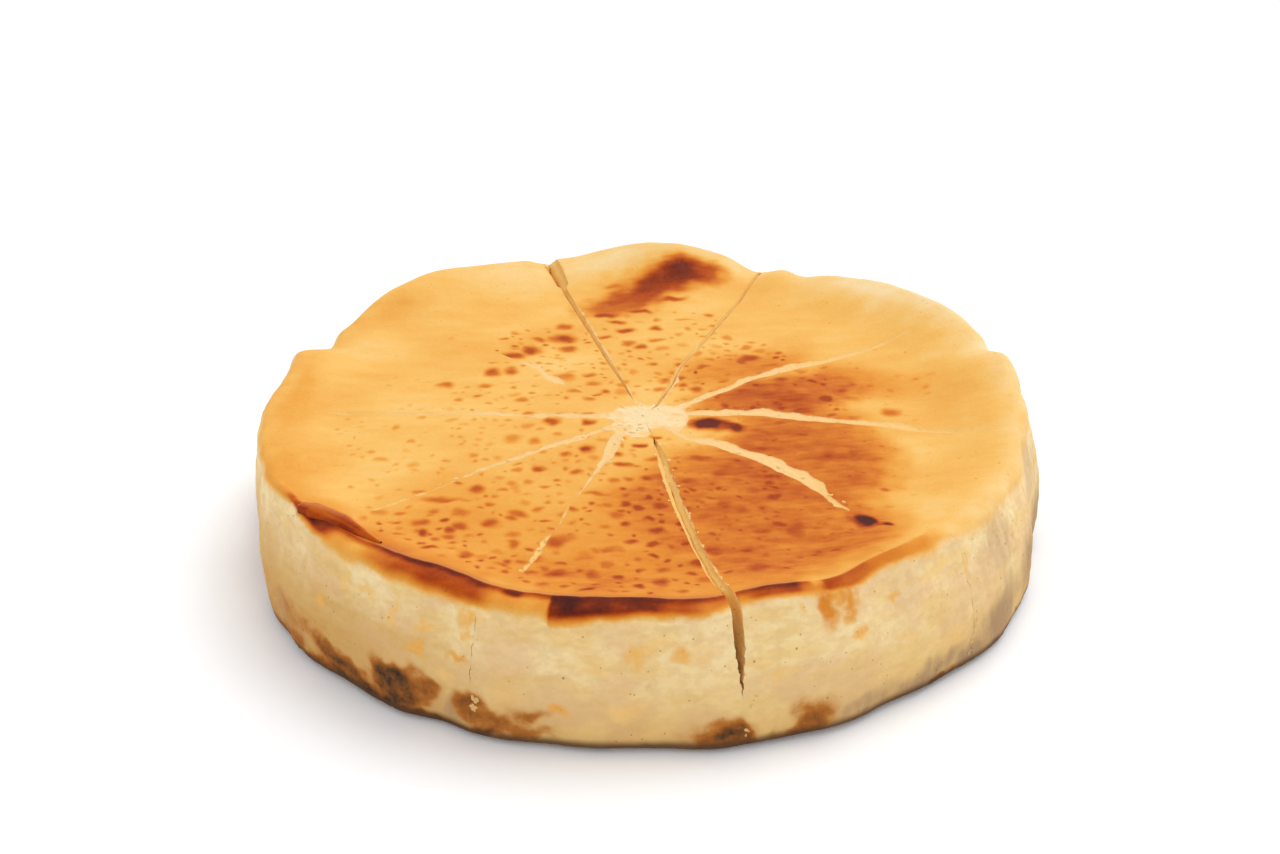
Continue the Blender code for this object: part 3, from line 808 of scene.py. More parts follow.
def sheet_rows():
    """Plain radius, height, distance past the crest, and number of columns of every row."""
    rows = []
    for inner, outer, columns in ROW_BLOCKS:
        count = round((outer - inner) / ROW_STEP)
        for radius in np.linspace(inner, outer, count + 1)[:-1]:
            rows.append((radius, float(top_height(radius)), radius - RIM_RADIUS, columns))
    columns = ROW_BLOCKS[-1][2]
    rows.append((RIM_RADIUS, RIM_HEIGHT, 0.0, columns))
    for radius, height in side_profile(SHOULDER_ROWS, SIDE_ROWS, FOOT_ROWS):
        last = rows[-1]
        step = math.hypot(radius - last[0], height - last[1])
        rows.append((radius, height, last[2] + step, columns))
    return rows


def sheet_faces(rows):
    """Faces between neighbouring rows, with two columns for one where a finer block starts."""
    firsts = np.concatenate([[0], np.cumsum([row[3] + 1 for row in rows])]).tolist()
    faces = []
    for j in range(len(rows) - 1):
        inner, outer = firsts[j], firsts[j + 1]
        columns = rows[j][3]
        if rows[j + 1][3] == columns:
            for i in range(columns):
                faces.append((inner + i, outer + i, outer + i + 1, inner + i + 1))
        else:
            for i in range(columns):
                a, b, c = outer + 2 * i, outer + 2 * i + 1, outer + 2 * i + 2
                faces.append((inner + i, a, b))
                faces.append((inner + i, b, inner + i + 1))
                faces.append((inner + i + 1, b, c))
    return faces, firsts


def profile_normals(rows):
    """Outward direction of the plain profile at every row, as (across, up)."""
    along = np.gradient(np.array([(row[0], row[1]) for row in rows]), axis=0)
    along /= np.linalg.norm(along, axis=1)[:, None]
    return -along[:, 1], along[:, 0]


def full_turn(cut, next_cut):
    """A whole turn for the wedge that lies across the angle 0, otherwise none."""
    return 2 * math.pi if next_cut.angle < cut.angle else 0.0


def plain_sheet(number, rows, meet):
    """Every point of the sheet: angle, radius, height, distance past the crest and from both cuts."""
    cut, next_cut = cuts_beside(number)
    turn = full_turn(cut, next_cut)
    parts = []
    for radius, height, past, columns in rows:
        share = np.linspace(0, 1, columns + 1)
        share = share - EDGE_CROWDING * np.sin(2 * np.pi * share) / (2 * np.pi)
        depth = max(0.0, RIM_HEIGHT - height) if past > 0 else 0.0
        start = cut_angle(cut, settled(radius, cut.angle, height)[0], depth, 1, meet)
        end = cut_angle(next_cut, settled(radius, next_cut.angle, height)[0], depth, -1, meet) + turn
        angle = start + (end - start) * share
        ones = np.ones(columns + 1)
        parts.append(np.stack([
            angle, radius * ones, height * ones, past * ones,
            radius * (angle - start), radius * (end - angle),
        ]))
    return np.hstack(parts)


def sheet_relief(place, degrees, height, past, skin, cover, toast, from_start, from_end):
    """How far every point of the sheet stands out from the settled cake."""
    top = 1 - smoothstep(0, 4, past)
    torn = (1 - smoothstep(-0.8, 0.3, skin)) * top
    crumb = CRUMB_ROUGHNESS * uneven(place, *CRUMB_GRAIN)
    blisters = BLISTER_RISE * smoothstep(0.55, 0.75, toast) * ripple(place, 2.2, 45)
    relief = uneven(place, *SOFT_SWELLS) + blisters * top + torn * (crumb - TORN_DEPTH)
    # the skin's edge is rounded down into the cuts, more where it is torn
    near_cut = np.minimum(from_start, from_end)
    width = 0.45 + 0.9 * torn
    rounding = 0.012 + 0.07 * torn
    relief = relief - rounding * np.clip(1 - near_cut / width, 0, 1) ** 1.6
    # the browned lip stands up, and the skin below it ends in a low step
    lip = LIP_RISE * smoothstep(0.1, 0.5, rim_value(degrees, "crest"))
    relief = relief + lip * hump(past + eased(degrees, LIP_INSET) - LIP_PAST, LIP_WIDTH)
    browned_side = smoothstep(0.15, 0.4, rim_value(degrees, "under"))
    relief = relief - SKIN_THICKNESS * browned_side * (1 - cover) * smoothstep(0.5, 2, past)
    # creases that the paper left in the side, and the pitted skin between them
    side = smoothstep(2, 7, past) * smoothstep(0, 3, height)
    ridges = uneven(place * (1, 1, 0.22), SIDE_RIDGES)
    strokes = uneven(place * (0.35, 0.35, 1.4), SIDE_STROKES)
    grain = uneven(place, SIDE_GRAIN)
    crease = -np.clip(np.abs(ripple(place * (1, 1, 0.3), 15, 47)) - 0.12, -0.12, 0) / 0.12
    pits = np.clip(ripple(place, 2.2, 49) - 0.8, 0, 1)
    return relief + side * (ridges - CREASE_DEPTH * crease + strokes - PIT_DEPTH * pits + grain)


def filled(flat, border):
    """Triangles, anticlockwise, inside a loop that the first `border` of the flat points make."""
    loop = [(i, (i + 1) % border) for i in range(border)]
    found = delaunay_2d_cdt([Vector(point) for point in flat], loop, [], 1, 1e-6)
    triangles = []
    for face in found[2]:
        corners = [found[3][i][0] for i in face]
        a, b, c = (flat[i] for i in corners)
        turns_left = (b[0] - a[0]) * (c[1] - a[1]) - (b[1] - a[1]) * (c[0] - a[0]) > 0
        triangles.append(corners if turns_left else corners[::-1])
    return triangles


def cut_face(cut, side, turn, edge_reach, edge_height, meet):
    """Extra points of a cut face and its triangles, which start from the sheet's edge points."""
    tip, foot = edge_reach[0], edge_reach[-1]
    is_open = max(value for _, value in cut.opening) > OPEN_FROM
    spacing = OPEN_FACE_SPACING if is_open else CLOSED_FACE_SPACING
    under = [(reach, 0.0) for reach in np.linspace(foot, tip, 27)[1:-1]]
    up_tip = [(tip, height) for height in np.linspace(0, edge_height[0], 9)[:-1]]
    inner = []
    margin = 0.8 * spacing
    if is_open:
        edge = np.stack([edge_reach, edge_height], axis=1)
        along = np.gradient(edge, axis=0)
        along /= np.linalg.norm(along, axis=1)[:, None]
        inwards = np.stack([along[:, 1], -along[:, 0]], axis=1)
        for offset in OPEN_FACE_ROWS:
            row = (edge + offset * inwards)[8:-14:2]
            inner += [tuple(point) for point in row if point[1] > 3]
        margin = OPEN_FACE_ROWS[-1] + 0.7 * spacing
    roof = edge_height > RIM_HEIGHT - SHOULDER_DROP
    for reach in np.arange(tip + spacing, foot - margin, spacing):
        limit = np.interp(reach, edge_reach[roof], edge_height[roof]) - margin
        for height in np.arange(spacing, limit, spacing):
            inner.append((reach, height))
    border = [*zip(edge_reach, edge_height), *under, *up_tip]
    triangles = filled(border + inner, len(border))
    if side == -1:
        triangles = [triangle[::-1] for triangle in triangles]
    extra = np.array((border + inner)[len(edge_reach):])
    reach, height = extra[:, 0], extra[:, 1]
    over = np.interp(reach, edge_reach[roof], edge_height[roof])
    surface = np.where(reach < RIM_RADIUS, over, RIM_HEIGHT)
    angle = cut_angle(cut, reach, np.maximum(0, surface - height), side, meet) + turn
    x, y = on_plan(reach, angle, meet)
    crumbly = np.stack([reach, 0 * reach, height], axis=1)
    rough = OPEN_FACE_ROUGHNESS * ripple(crumbly, 3.4, 61 + side)
    rough = rough * (height > 0) * (reach > tip) * is_open
    x = x - side * rough * math.sin(math.radians(cut.angle))
    y = y + side * rough * math.cos(math.radians(cut.angle))
    return np.stack([x, y, height], axis=1), triangles, len(under), len(up_tip)


rows = sheet_rows()
faces_of_sheet, firsts = sheet_faces(rows)
middle = outline_middle()
meet = CUTS_MEET + middle
row_counts = [row[3] + 1 for row in rows]
outward, upward = profile_normals(rows)
outward = np.repeat(outward, row_counts)
upward = np.repeat(upward, row_counts)
CUT_FACE_VALUES = {"toast": 0.30, "cut_crumb": 1.0}  # the other surface values are 0 there


def wedge_sheet(number):
    """A wedge's top and side: points in mm, how far out they lie, and surface values."""
    angle, radius, height, past, from_start, from_end = plain_sheet(number, rows, meet)
    x, y = on_plan(radius, angle, meet)
    reach = np.hypot(x, y)
    moved, z = settled(reach, np.degrees(np.arctan2(y, x)), height)
    scale = moved / reach
    place = np.stack([x * scale - middle[0], y * scale - middle[1], z], axis=1)
    degrees = np.degrees(np.arctan2(place[:, 1], place[:, 0])) % 360
    skin = whole_skin(number, place, radius, from_start, from_end)
    toast, cover, highlight = rim_toast(top_toast(number, place), place, degrees, past)
    stain, stained, scorch, grey = side_stains(place, degrees, z)
    relief = sheet_relief(place, degrees, z, past, skin, cover, toast, from_start, from_end)
    side = smoothstep(-1.0, 1.5, past)
    covered = cover * np.where(past > 3, 1, smoothstep(-0.55, 0.5, skin))
    share = np.clip(stained * side * (1 - covered), 0, 1)
    toast = blended(toast, np.maximum(stain, toast * covered), smoothstep(0.0, 0.3, share))
    # painted shade on the front-left side, which faces away from the light
    side_shade = SHADED_SIDE_SHARE * hump(degrees_between(degrees, SHADED_SIDE_AT), SHADED_SIDE_WIDTH)
    direction = np.stack([outward * np.cos(angle), outward * np.sin(angle), upward], axis=1)
    points = place + relief[:, None] * direction
    points[:, 2] = np.maximum(points[:, 2], 0)
    points[past == rows[-1][2], 2] = 0
    values = {
        "toast": toast,
        "skin_cover": np.maximum(covered, stained * side),
        "outer_side": side,
        "cut_crumb": np.zeros(len(place)),
        "foot_scorch": scorch,
        "foot_grey": grey * side,
        "rim_painted_highlight": highlight,
        "painted_side_shade": side_shade * smoothstep(46, 18, z),
    }
    return points, radius + (moved - reach) + relief * outward, values


def wedge(number):
    """Points in mm, faces and surface values of a wedge: its sheet, two cut faces and underside."""
    cut, next_cut = cuts_beside(number)
    turn = full_turn(cut, next_cut)
    points, edge_reach, sheet_values = wedge_sheet(number)
    starts = firsts[:-1]
    ends = [first + size - 1 for first, size in zip(starts, row_counts)]
    count = len(points)
    faces = list(faces_of_sheet)
    walls = []
    all_points = [points]
    for this_cut, way, extra_turn, edge in ((cut, 1, 0.0, starts), (next_cut, -1, turn, ends)):
        extra, triangles, under, up_tip = cut_face(
            this_cut, way, extra_turn, edge_reach[edge], points[edge, 2], meet)
        extra[:, :2] -= middle
        indices = list(edge) + list(range(count, count + len(extra)))
        faces += [tuple(indices[i] for i in triangle) for triangle in triangles]
        walls.append((indices[len(edge):len(edge) + under], indices[len(edge) + under:][:up_tip]))
        all_points.append(extra)
        count += len(extra)
    (under_start, tip_start), (under_end, tip_end) = walls
    for k in range(len(tip_start) - 1):
        faces.append((tip_start[k], tip_start[k + 1], tip_end[k + 1], tip_end[k]))
    faces.append((tip_start[-1], *range(firsts[0], firsts[1]), tip_end[-1]))
    points = np.vstack(all_points)
    foot = list(range(starts[-1], ends[-1] + 1))
    loop = foot + under_end + [tip_end[0], tip_start[0]] + under_start[::-1]
    for triangle in filled([points[i, :2] for i in loop], len(loop)):
        faces.append(tuple(loop[i] for i in triangle[::-1]))
    values = {}
    for name, numbers in sheet_values.items():
        elsewhere = np.full(count - len(numbers), CUT_FACE_VALUES.get(name, 0.0))
        values[name] = np.concatenate([numbers, elsewhere])
    return points, faces, values


wedges = [wedge(number) for number in range(1, len(CUTS) + 1)]

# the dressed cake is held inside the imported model's box
lowest = np.min([points.min(axis=0) for points, _, _ in wedges], axis=0)
highest = np.max([points.max(axis=0) for points, _, _ in wedges], axis=0)
box_low = np.array(cad_box[0]) * 1000
box_high = np.array(cad_box[1]) * 1000
box_scale = np.minimum(1, (box_high - box_low) / (highest - lowest))


def in_frame(points):
    """Points in metres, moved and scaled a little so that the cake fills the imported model's box."""
    held = (points - (lowest + highest) / 2) * box_scale + (box_low + box_high) / 2
    held[:, 2] = points[:, 2] * box_scale[2]
    return held / 1000


# Baked cheesecake, the finish
# Satin golden skin that turns from cream through gold and orange to a nearly black scorch, over
# matte pale crumb with vanilla specks. The side is skin that set against paper, paler and mottled.
TOP_LIGHT = 1.14
SIDE_LIGHT = 1.04
SKIN_TONES = (  # toast, and the skin's colour in the light of the top
    (0.00, (253, 232, 190)),
    (0.15, (252, 213, 144)),
    (0.30, (250, 194, 102)),
    (0.45, (242, 170, 72)),
    (0.60, (231, 143, 46)),
    (0.72, (213, 113, 32)),
    (0.84, (184, 74, 12)),
    (0.93, (130, 46, 16)),
    (1.00, (80, 30, 22)),
)
TORN_CRUMB = (253, 209, 142)
TORN_CRUMB_FAR = (252, 203, 122)
TIP_CRUMB = (254, 224, 172)
CUT_CRUMB = (250, 208, 136)
CUT_EDGE = (253, 206, 122)
SIDE_CREAM = (248, 222, 168)
SIDE_YELLOW = (246, 212, 138)
SIDE_PINK = (240, 205, 154)
SIDE_AMBER = (240, 190, 112)
LOW_CREAM = (231, 191, 121)
LOW_PINK = (222, 181, 122)
# colour of the painted shade on the side away from the light
SIDE_SHADE_COLOUR = (206, 158, 86)
FOOT_GREY = (172, 140, 104)
FOOT_TAN = (206, 164, 106)
# colour of the dark bottom edge: painted contact shade with a little browning
FOOT_EDGE_SHADE = (96, 68, 46)
# colour of the painted highlight on the lip
RIM_HIGHLIGHT = (176, 104, 74)
SCORCH_TONES = (  # scorch of the foot, and its colour in the light of the side
    (0.00, (224, 182, 120)),
    (0.30, (206, 152, 88)),
    (0.50, (184, 116, 50)),
    (0.66, (156, 93, 40)),
    (0.82, (112, 72, 38)),
    (0.92, (82, 56, 36)),
    (1.00, (60, 44, 34)),
)
SPECKS = ((0.0036, 0.00024, 0.60), (0.0088, 0.00040, 0.62))  # spacing, radius, strength
SPECK_BROWN = (120, 76, 36)
SPECKS_HIDDEN = 0.55  # share of the specks that browned skin hides
# how strongly the painted highlight on the lip shows
HIGHLIGHT_STRENGTH = 0.42
CRUMB_MATTE = 0.80
SKIN_SATIN = 0.56
GLOSS = 0.08
INNER_GLOW = 0.12
INNER_GLOW_TINT = (1.0, 0.6, 0.3)
INNER_GLOW_REACH = 0.0015
PORE_DEPTH = 0.00035
SHARP_EDGE = math.radians(58)


def linear(colour, light):
    """The paint whose look is `colour`, from 0 to 255, where white looks `light` bright."""
    parts = [channel / 255 for channel in colour]
    flat = [p / 12.92 if p <= 0.04045 else ((p + 0.055) / 1.055) ** 2.4 for p in parts]
    return (*(channel / light for channel in flat), 1.0)


def top_paint(colour):
    return linear(colour, TOP_LIGHT)


def side_paint(colour):
    return linear(colour, SIDE_LIGHT)


class Finish:
    """A material under construction, with short calls for the nodes that the cake's finishes use."""

    def __init__(self, name):
        self.material = bpy.data.materials.new(name)
        self.material.use_nodes = True
        self.nodes = self.material.node_tree.nodes
        self.links = self.material.node_tree.links
        self.shader = self.nodes["Principled BSDF"].inputs
        self.place = self.nodes.new("ShaderNodeTexCoord").outputs["Object"]

    def join(self, source, socket):
        if isinstance(source, (int, float, tuple)):
            socket.default_value = source
        else:
            self.links.new(source, socket)

    def value(self, name):
        node = self.nodes.new("ShaderNodeAttribute")
        node.attribute_name = name
        return node.outputs["Fac"]

    def maths(self, operation, a, b=0.0, c=0.0):
        node = self.nodes.new("ShaderNodeMath")
        node.operation = operation
        for source, socket in zip((a, b, c), node.inputs):
            self.join(source, socket)
        return node.outputs[0]

    def shifted(self, base, noise, amount):
        """The base value moved up and down by a noise whose middle is 0.5."""
        return self.maths("MULTIPLY_ADD", self.maths("SUBTRACT", noise, 0.5), amount, base)

    def noise(self, size, detail=3.0, stretch=(1, 1, 1)):
        """Noise from about 0.25 to 0.75 with bumps `size` metres across."""
        mapping = self.nodes.new("ShaderNodeMapping")
        mapping.inputs["Scale"].default_value = stretch
        self.links.new(self.place, mapping.inputs["Vector"])
        node = self.nodes.new("ShaderNodeTexNoise")
        node.inputs["Scale"].default_value = 0.7 / size
        node.inputs["Detail"].default_value = detail
        self.links.new(mapping.outputs[0], node.inputs["Vector"])
        return node.outputs["Fac"]

    def span(self, source, low, high, to_low=0.0, to_high=1.0):
        """The source eased from to_low, where it is `low`, to to_high, where it is `high`."""
        node = self.nodes.new("ShaderNodeMapRange")
        node.interpolation_type = "SMOOTHSTEP"
        names = ("Value", "From Min", "From Max", "To Min", "To Max")
        for name, wanted in zip(names, (source, low, high, to_low, to_high)):
            self.join(wanted, node.inputs[name])
        return node.outputs[0]

    def mix(self, share, a, b):
        node = self.nodes.new("ShaderNodeMix")
        node.data_type = "RGBA"
        self.join(share, node.inputs["Factor"])
        self.join(a, node.inputs["A"])
        self.join(b, node.inputs["B"])
        return node.outputs["Result"]

    def tones(self, source, stops, light):
        node = self.nodes.new("ShaderNodeValToRGB")
        ramp = node.color_ramp
        while len(ramp.elements) < len(stops):
            ramp.elements.new(0.5)
        for element, (at, colour) in zip(ramp.elements, stops):
            element.position = at
            element.color = linear(colour, light)
        self.links.new(source, node.inputs["Fac"])
        return node.outputs["Color"]

    def bump(self, height, distance):
        node = self.nodes.new("ShaderNodeBump")
        node.inputs["Distance"].default_value = distance
        self.join(height, node.inputs["Height"])
        self.links.new(node.outputs["Normal"], self.shader["Normal"])


def skin_colour(cake, fine, grain):
    """Browned skin, from cream to black by its toast, with a painted lilac highlight on the scorched lip.
    """
    shift = cake.shifted(cake.shifted(0.0, fine, 0.08), grain, 0.10)
    skin = cake.tones(cake.maths("ADD", cake.value("toast"), shift), SKIN_TONES, TOP_LIGHT)
    highlight = cake.maths("MULTIPLY", cake.value("rim_painted_highlight"), HIGHLIGHT_STRENGTH)
    return cake.mix(highlight, skin, top_paint(RIM_HIGHLIGHT))


def crumb_colour(cake, grain, x, y, z):
    """Crumb where the skin is torn, palest at the tips, and on the cut faces."""
    squares = cake.maths("ADD", cake.maths("POWER", x, 2.0), cake.maths("POWER", y, 2.0))
    far = cake.shifted(cake.maths("SQRT", squares), grain, 0.05)
    torn = cake.mix(cake.span(far, 0.040, 0.095), top_paint(TORN_CRUMB), top_paint(TORN_CRUMB_FAR))
    torn = cake.mix(cake.span(far, 0.016, 0.004), torn, top_paint(TIP_CRUMB))
    inside = cake.mix(cake.span(z, 0.034, 0.040), top_paint(CUT_CRUMB), top_paint(CUT_EDGE))
    return cake.mix(cake.value("cut_crumb"), torn, inside)


def side_colour(cake, z):
    """Cream, yellow and pinkish patches with level strokes, darker towards the foot, and painted shade on
    the side away from the light.
    """
    patches = cake.span(cake.noise(0.012, 3.0), 0.42, 0.58)
    strokes = cake.span(cake.noise(0.0050, 3.0, (0.4, 0.4, 1.2)), 0.46, 0.66)
    stipple = cake.span(cake.noise(0.0016, 2.0, (0.6, 0.6, 1)), 0.40, 0.62)
    amber = cake.span(cake.noise(0.0075, 4.0, (0.6, 0.6, 1.1)), 0.55, 0.70, 0.0, 0.40)
    upper = cake.mix(patches, side_paint(SIDE_CREAM), side_paint(SIDE_PINK))
    upper = cake.mix(cake.maths("MULTIPLY", strokes, 0.55), upper, side_paint(SIDE_YELLOW))
    lower = cake.mix(patches, side_paint(LOW_CREAM), side_paint(LOW_PINK))
    side = cake.mix(cake.span(z, 0.034, 0.003), upper, lower)
    side = cake.mix(cake.span(z, 0.008, 0.000, 0.0, 0.8), side, side_paint(FOOT_TAN))
    side = cake.mix(cake.maths("MULTIPLY", stipple, 0.30), side, side_paint(LOW_PINK))
    side = cake.mix(amber, side, side_paint(SIDE_AMBER))
    # painted shade on the side away from the light, broken by the strokes
    side_shade = cake.shifted(cake.value("painted_side_shade"), strokes, 0.16)
    return cake.mix(side_shade, side, side_paint(SIDE_SHADE_COLOUR))


def foot_colour(cake, base, fine, z):
    """The base colour with the foot's grey patches, its scorches and its dark bottom edge, which is
    painted contact shade with a little browning.
    """
    upright = cake.noise(0.0022, 2.0, (1, 1, 0.2))
    greyed = cake.span(cake.shifted(cake.value("foot_grey"), upright, 0.55), 0.0, 1.0)
    greyed = cake.maths("MULTIPLY", greyed, cake.span(cake.value("foot_grey"), 0.0, 0.4))
    base = cake.mix(greyed, base, side_paint(FOOT_GREY))
    mottle = cake.noise(0.0024, 5.0, (0.7, 0.7, 1))
    scorch = cake.shifted(cake.shifted(1.0, mottle, 0.8), fine, 0.4)
    scorch = cake.maths("MULTIPLY", scorch, cake.value("foot_scorch"))
    burnt = cake.tones(scorch, SCORCH_TONES, SIDE_LIGHT)
    base = cake.mix(cake.span(scorch, 0.03, 0.52), base, burnt)
    # the dark bottom edge is painted contact shade, with a little browning
    edge = cake.span(z, 0.0054, 0.0026, 0.0, 0.9)
    edge = cake.maths("MULTIPLY", edge, cake.value("outer_side"))
    return cake.mix(edge, base, side_paint(FOOT_EDGE_SHADE))


def specked(cake, base, cover):
    """The base colour with vanilla specks of two sizes, fainter under browned skin."""
    for spacing, radius, strength in SPECKS:
        cells = cake.nodes.new("ShaderNodeTexVoronoi")
        cells.inputs["Scale"].default_value = 1 / spacing
        cake.links.new(cake.place, cells.inputs["Vector"])
        away = cake.maths("MULTIPLY", cells.outputs["Distance"], spacing)
        speck = cake.span(away, radius * 0.5, radius * 1.5, strength, 0.0)
        shown = cake.maths("MULTIPLY_ADD", cover, -SPECKS_HIDDEN, 1.0)
        base = cake.mix(cake.maths("MULTIPLY", speck, shown), base, linear(SPECK_BROWN, 1.0))
    return base


def baked_finish():
    cake = Finish("baked cheesecake")
    fine = cake.noise(0.0009, 4.0)
    grain = cake.noise(0.0022, 3.0, (0.5, 1, 1))
    parts = cake.nodes.new("ShaderNodeSeparateXYZ")
    cake.links.new(cake.place, parts.inputs[0])
    x, y, z = parts.outputs
    skin = skin_colour(cake, fine, grain)
    crumb = crumb_colour(cake, grain, x, y, z)
    under = cake.mix(cake.value("outer_side"), crumb, side_colour(cake, z))
    # the skin ends in a ragged edge
    cover = cake.span(cake.shifted(cake.value("skin_cover"), fine, 0.35), 0.08, 0.92)
    base = foot_colour(cake, cake.mix(cover, under, skin), fine, z)
    cake.join(specked(cake, base, cover), cake.shader["Base Color"])
    cake.join(cake.span(cover, 0, 1, CRUMB_MATTE, SKIN_SATIN), cake.shader["Roughness"])
    cake.shader["Specular IOR Level"].default_value = GLOSS
    cake.shader["Subsurface Weight"].default_value = INNER_GLOW
    cake.shader["Subsurface Radius"].default_value = INNER_GLOW_TINT
    cake.shader["Subsurface Scale"].default_value = INNER_GLOW_REACH
    pitted = cake.maths("MULTIPLY_ADD", grain, 0.7, fine)
    strength = cake.span(cover, 0, 1, 1.0, 0.35)
    cake.bump(cake.maths("MULTIPLY", pitted, strength), PORE_DEPTH)
    return cake.material


def mesh_piece(name, points, faces, values, material):
    """A piece of cake from points in metres, with its surface values, shaded smooth."""
    mesh = bpy.data.meshes.new(name)
    mesh.from_pydata(points.tolist(), [], faces)
    mesh.shade_smooth()
    mesh.set_sharp_from_angle(angle=SHARP_EDGE)
    for value_name, numbers in values.items():
        attribute = mesh.attributes.new(value_name, "FLOAT", "POINT")
        attribute.data.foreach_set("value", np.asarray(numbers, dtype=np.float32))
    mesh.materials.append(material)
    piece = bpy.data.objects.new(name, mesh)
    bpy.context.scene.collection.objects.link(piece)
    return piece


baked = baked_finish()
for number, (points, faces, values) in enumerate(wedges, start=1):
    piece = mesh_piece(f"wedge_{number:02d}", in_frame(points), faces, values, baked)
    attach(piece, "root")
    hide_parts(f"slice_{number:02d}")


# The peeled skin
# At the front left a strip of the rim's browned skin came loose when the paper was pulled away, and
# rolled outwards over the edge. It is thin and leathery, still joined to the top along one side.
PEEL_PATH = (  # angle, and distance from the middle
    (210.8, 117.0), (213.0, 114.6), (216.0, 112.0), (219.0, 110.8), (222.5, 110.4), (227.0, 110.0),
)
PEEL_ROLL = (  # share of the path, and radius of the roll there
    (0.0, 0.8), (0.08, 1.9), (0.25, 2.9), (0.55, 2.8), (0.8, 1.8), (1.0, 0.6),
)
PEEL_HEIGHT = 44.8
PEEL_THICKNESS = 0.55
PEEL_STEPS = 96
PEEL_ROUND = 44
PEEL_LENGTH = 18
PEEL_SMOOTHINGS = 12
PEEL_LINES = 0.07
PEEL_WAVES = 0.10  # share of the roll's radius
PEEL_CURLS = 0.35  # radians by which the free edge curls more or less
PEEL_TOAST = 0.81
# the inside of the roll is painted nearly black, painted shade inside the roll
PEEL_INSIDE_SHADE_TOAST = 0.96
PEEL_FROM = math.radians(196)  # the joined side, lying on the top; 90 is straight up, 0 outwards
PEEL_TO = math.radians(-70)


def peeled_skin():
    """Points in mm, faces and surface values of the rolled strip, a closed sheet with two sides."""
    share = np.linspace(0, 1, PEEL_STEPS)
    index = share * (len(PEEL_PATH) - 1)
    angles, reaches = zip(*PEEL_PATH)
    heading = np.radians(eased(index, list(enumerate(angles))))
    reach = eased(index, list(enumerate(reaches)))
    line = np.stack([reach * np.cos(heading), reach * np.sin(heading)], axis=1)
    for _ in range(PEEL_SMOOTHINGS):
        line[1:-1] = (line[:-2] + 2 * line[1:-1] + line[2:]) / 4
    along = np.gradient(line, axis=0)
    along /= np.linalg.norm(along, axis=1)[:, None]
    outward = np.stack([along[:, 1], -along[:, 0]], axis=1)
    radius = eased(share, PEEL_ROLL)
    turn = np.linspace(PEEL_FROM, PEEL_TO, PEEL_ROUND)
    across, down = np.meshgrid(share, turn, indexing="ij")
    flat = np.stack([PEEL_LENGTH * across, 2.4 * down, 0 * across], axis=-1).reshape(-1, 3)
    lines = ripple(flat * (0.12, 1, 1), 0.7, 71).reshape(across.shape)
    waves = ripple(flat, 4.0, 72).reshape(across.shape)
    curls = ripple(flat * (1, 0, 0), 3.0, 73).reshape(across.shape)
    free = smoothstep(math.radians(40), PEEL_TO, down)
    sides = []
    for inwards in (0.0, PEEL_THICKNESS):
        thinner = inwards * np.minimum(1, radius[:, None] / 1.6)
        size = radius[:, None] * (1 + PEEL_WAVES * waves) - thinner
        size = size + (PEEL_LINES * lines if inwards == 0 else 0)
        turned = down + PEEL_CURLS * free * curls
        out = size * np.cos(turned)
        x = line[:, 0:1] + out * outward[:, 0:1]
        y = line[:, 1:2] + out * outward[:, 1:2]
        z = PEEL_HEIGHT + size * np.sin(turned) + 0 * x
        sides.append(np.stack([x, y, z], axis=-1).reshape(-1, 3))
    # over its browning the roll is painted lighter along its top, where it faces the sky, and darker
    # towards its free lower edge: painted highlight and painted shade
    toast = PEEL_TOAST + 0.06 * lines + 0.03 * waves
    toast = toast - 0.16 * smoothstep(math.radians(70), math.radians(120), down)
    toast = toast + 0.10 * free - 0.10 * smoothstep(0.75, 1, across)
    count = PEEL_STEPS * PEEL_ROUND
    faces = []
    for i in range(PEEL_STEPS - 1):
        for k in range(PEEL_ROUND - 1):
            a = i * PEEL_ROUND + k
            b = a + PEEL_ROUND
            faces.append((a, a + 1, b + 1, b))
            faces.append((count + a, count + b, count + b + 1, count + a + 1))
    border = [i * PEEL_ROUND for i in range(PEEL_STEPS)]
    border += [(PEEL_STEPS - 1) * PEEL_ROUND + k for k in range(1, PEEL_ROUND)]
    border += [i * PEEL_ROUND + PEEL_ROUND - 1 for i in range(PEEL_STEPS - 2, -1, -1)]
    border += list(range(PEEL_ROUND - 2, 0, -1))
    for a, b in zip(border, border[1:] + border[:1]):
        faces.append((a, b, count + b, count + a))
    # painted highlight along the top of the roll, where it faces the sky
    highlight = 0.8 * hump(down - math.radians(100), math.radians(60)) * smoothstep(0.8, 0.5, across)
    values = {
        "toast": np.concatenate([toast.ravel(), np.full(count, PEEL_INSIDE_SHADE_TOAST)]),
        "skin_cover": np.ones(2 * count),
        "rim_painted_highlight": np.concatenate([highlight.ravel(), np.zeros(count)]),
    }
    return np.vstack(sides), faces, values


points, faces, values = peeled_skin()
peel = mesh_piece("peeled_rim_skin", in_frame(points), faces, values, baked)
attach(peel, "root")


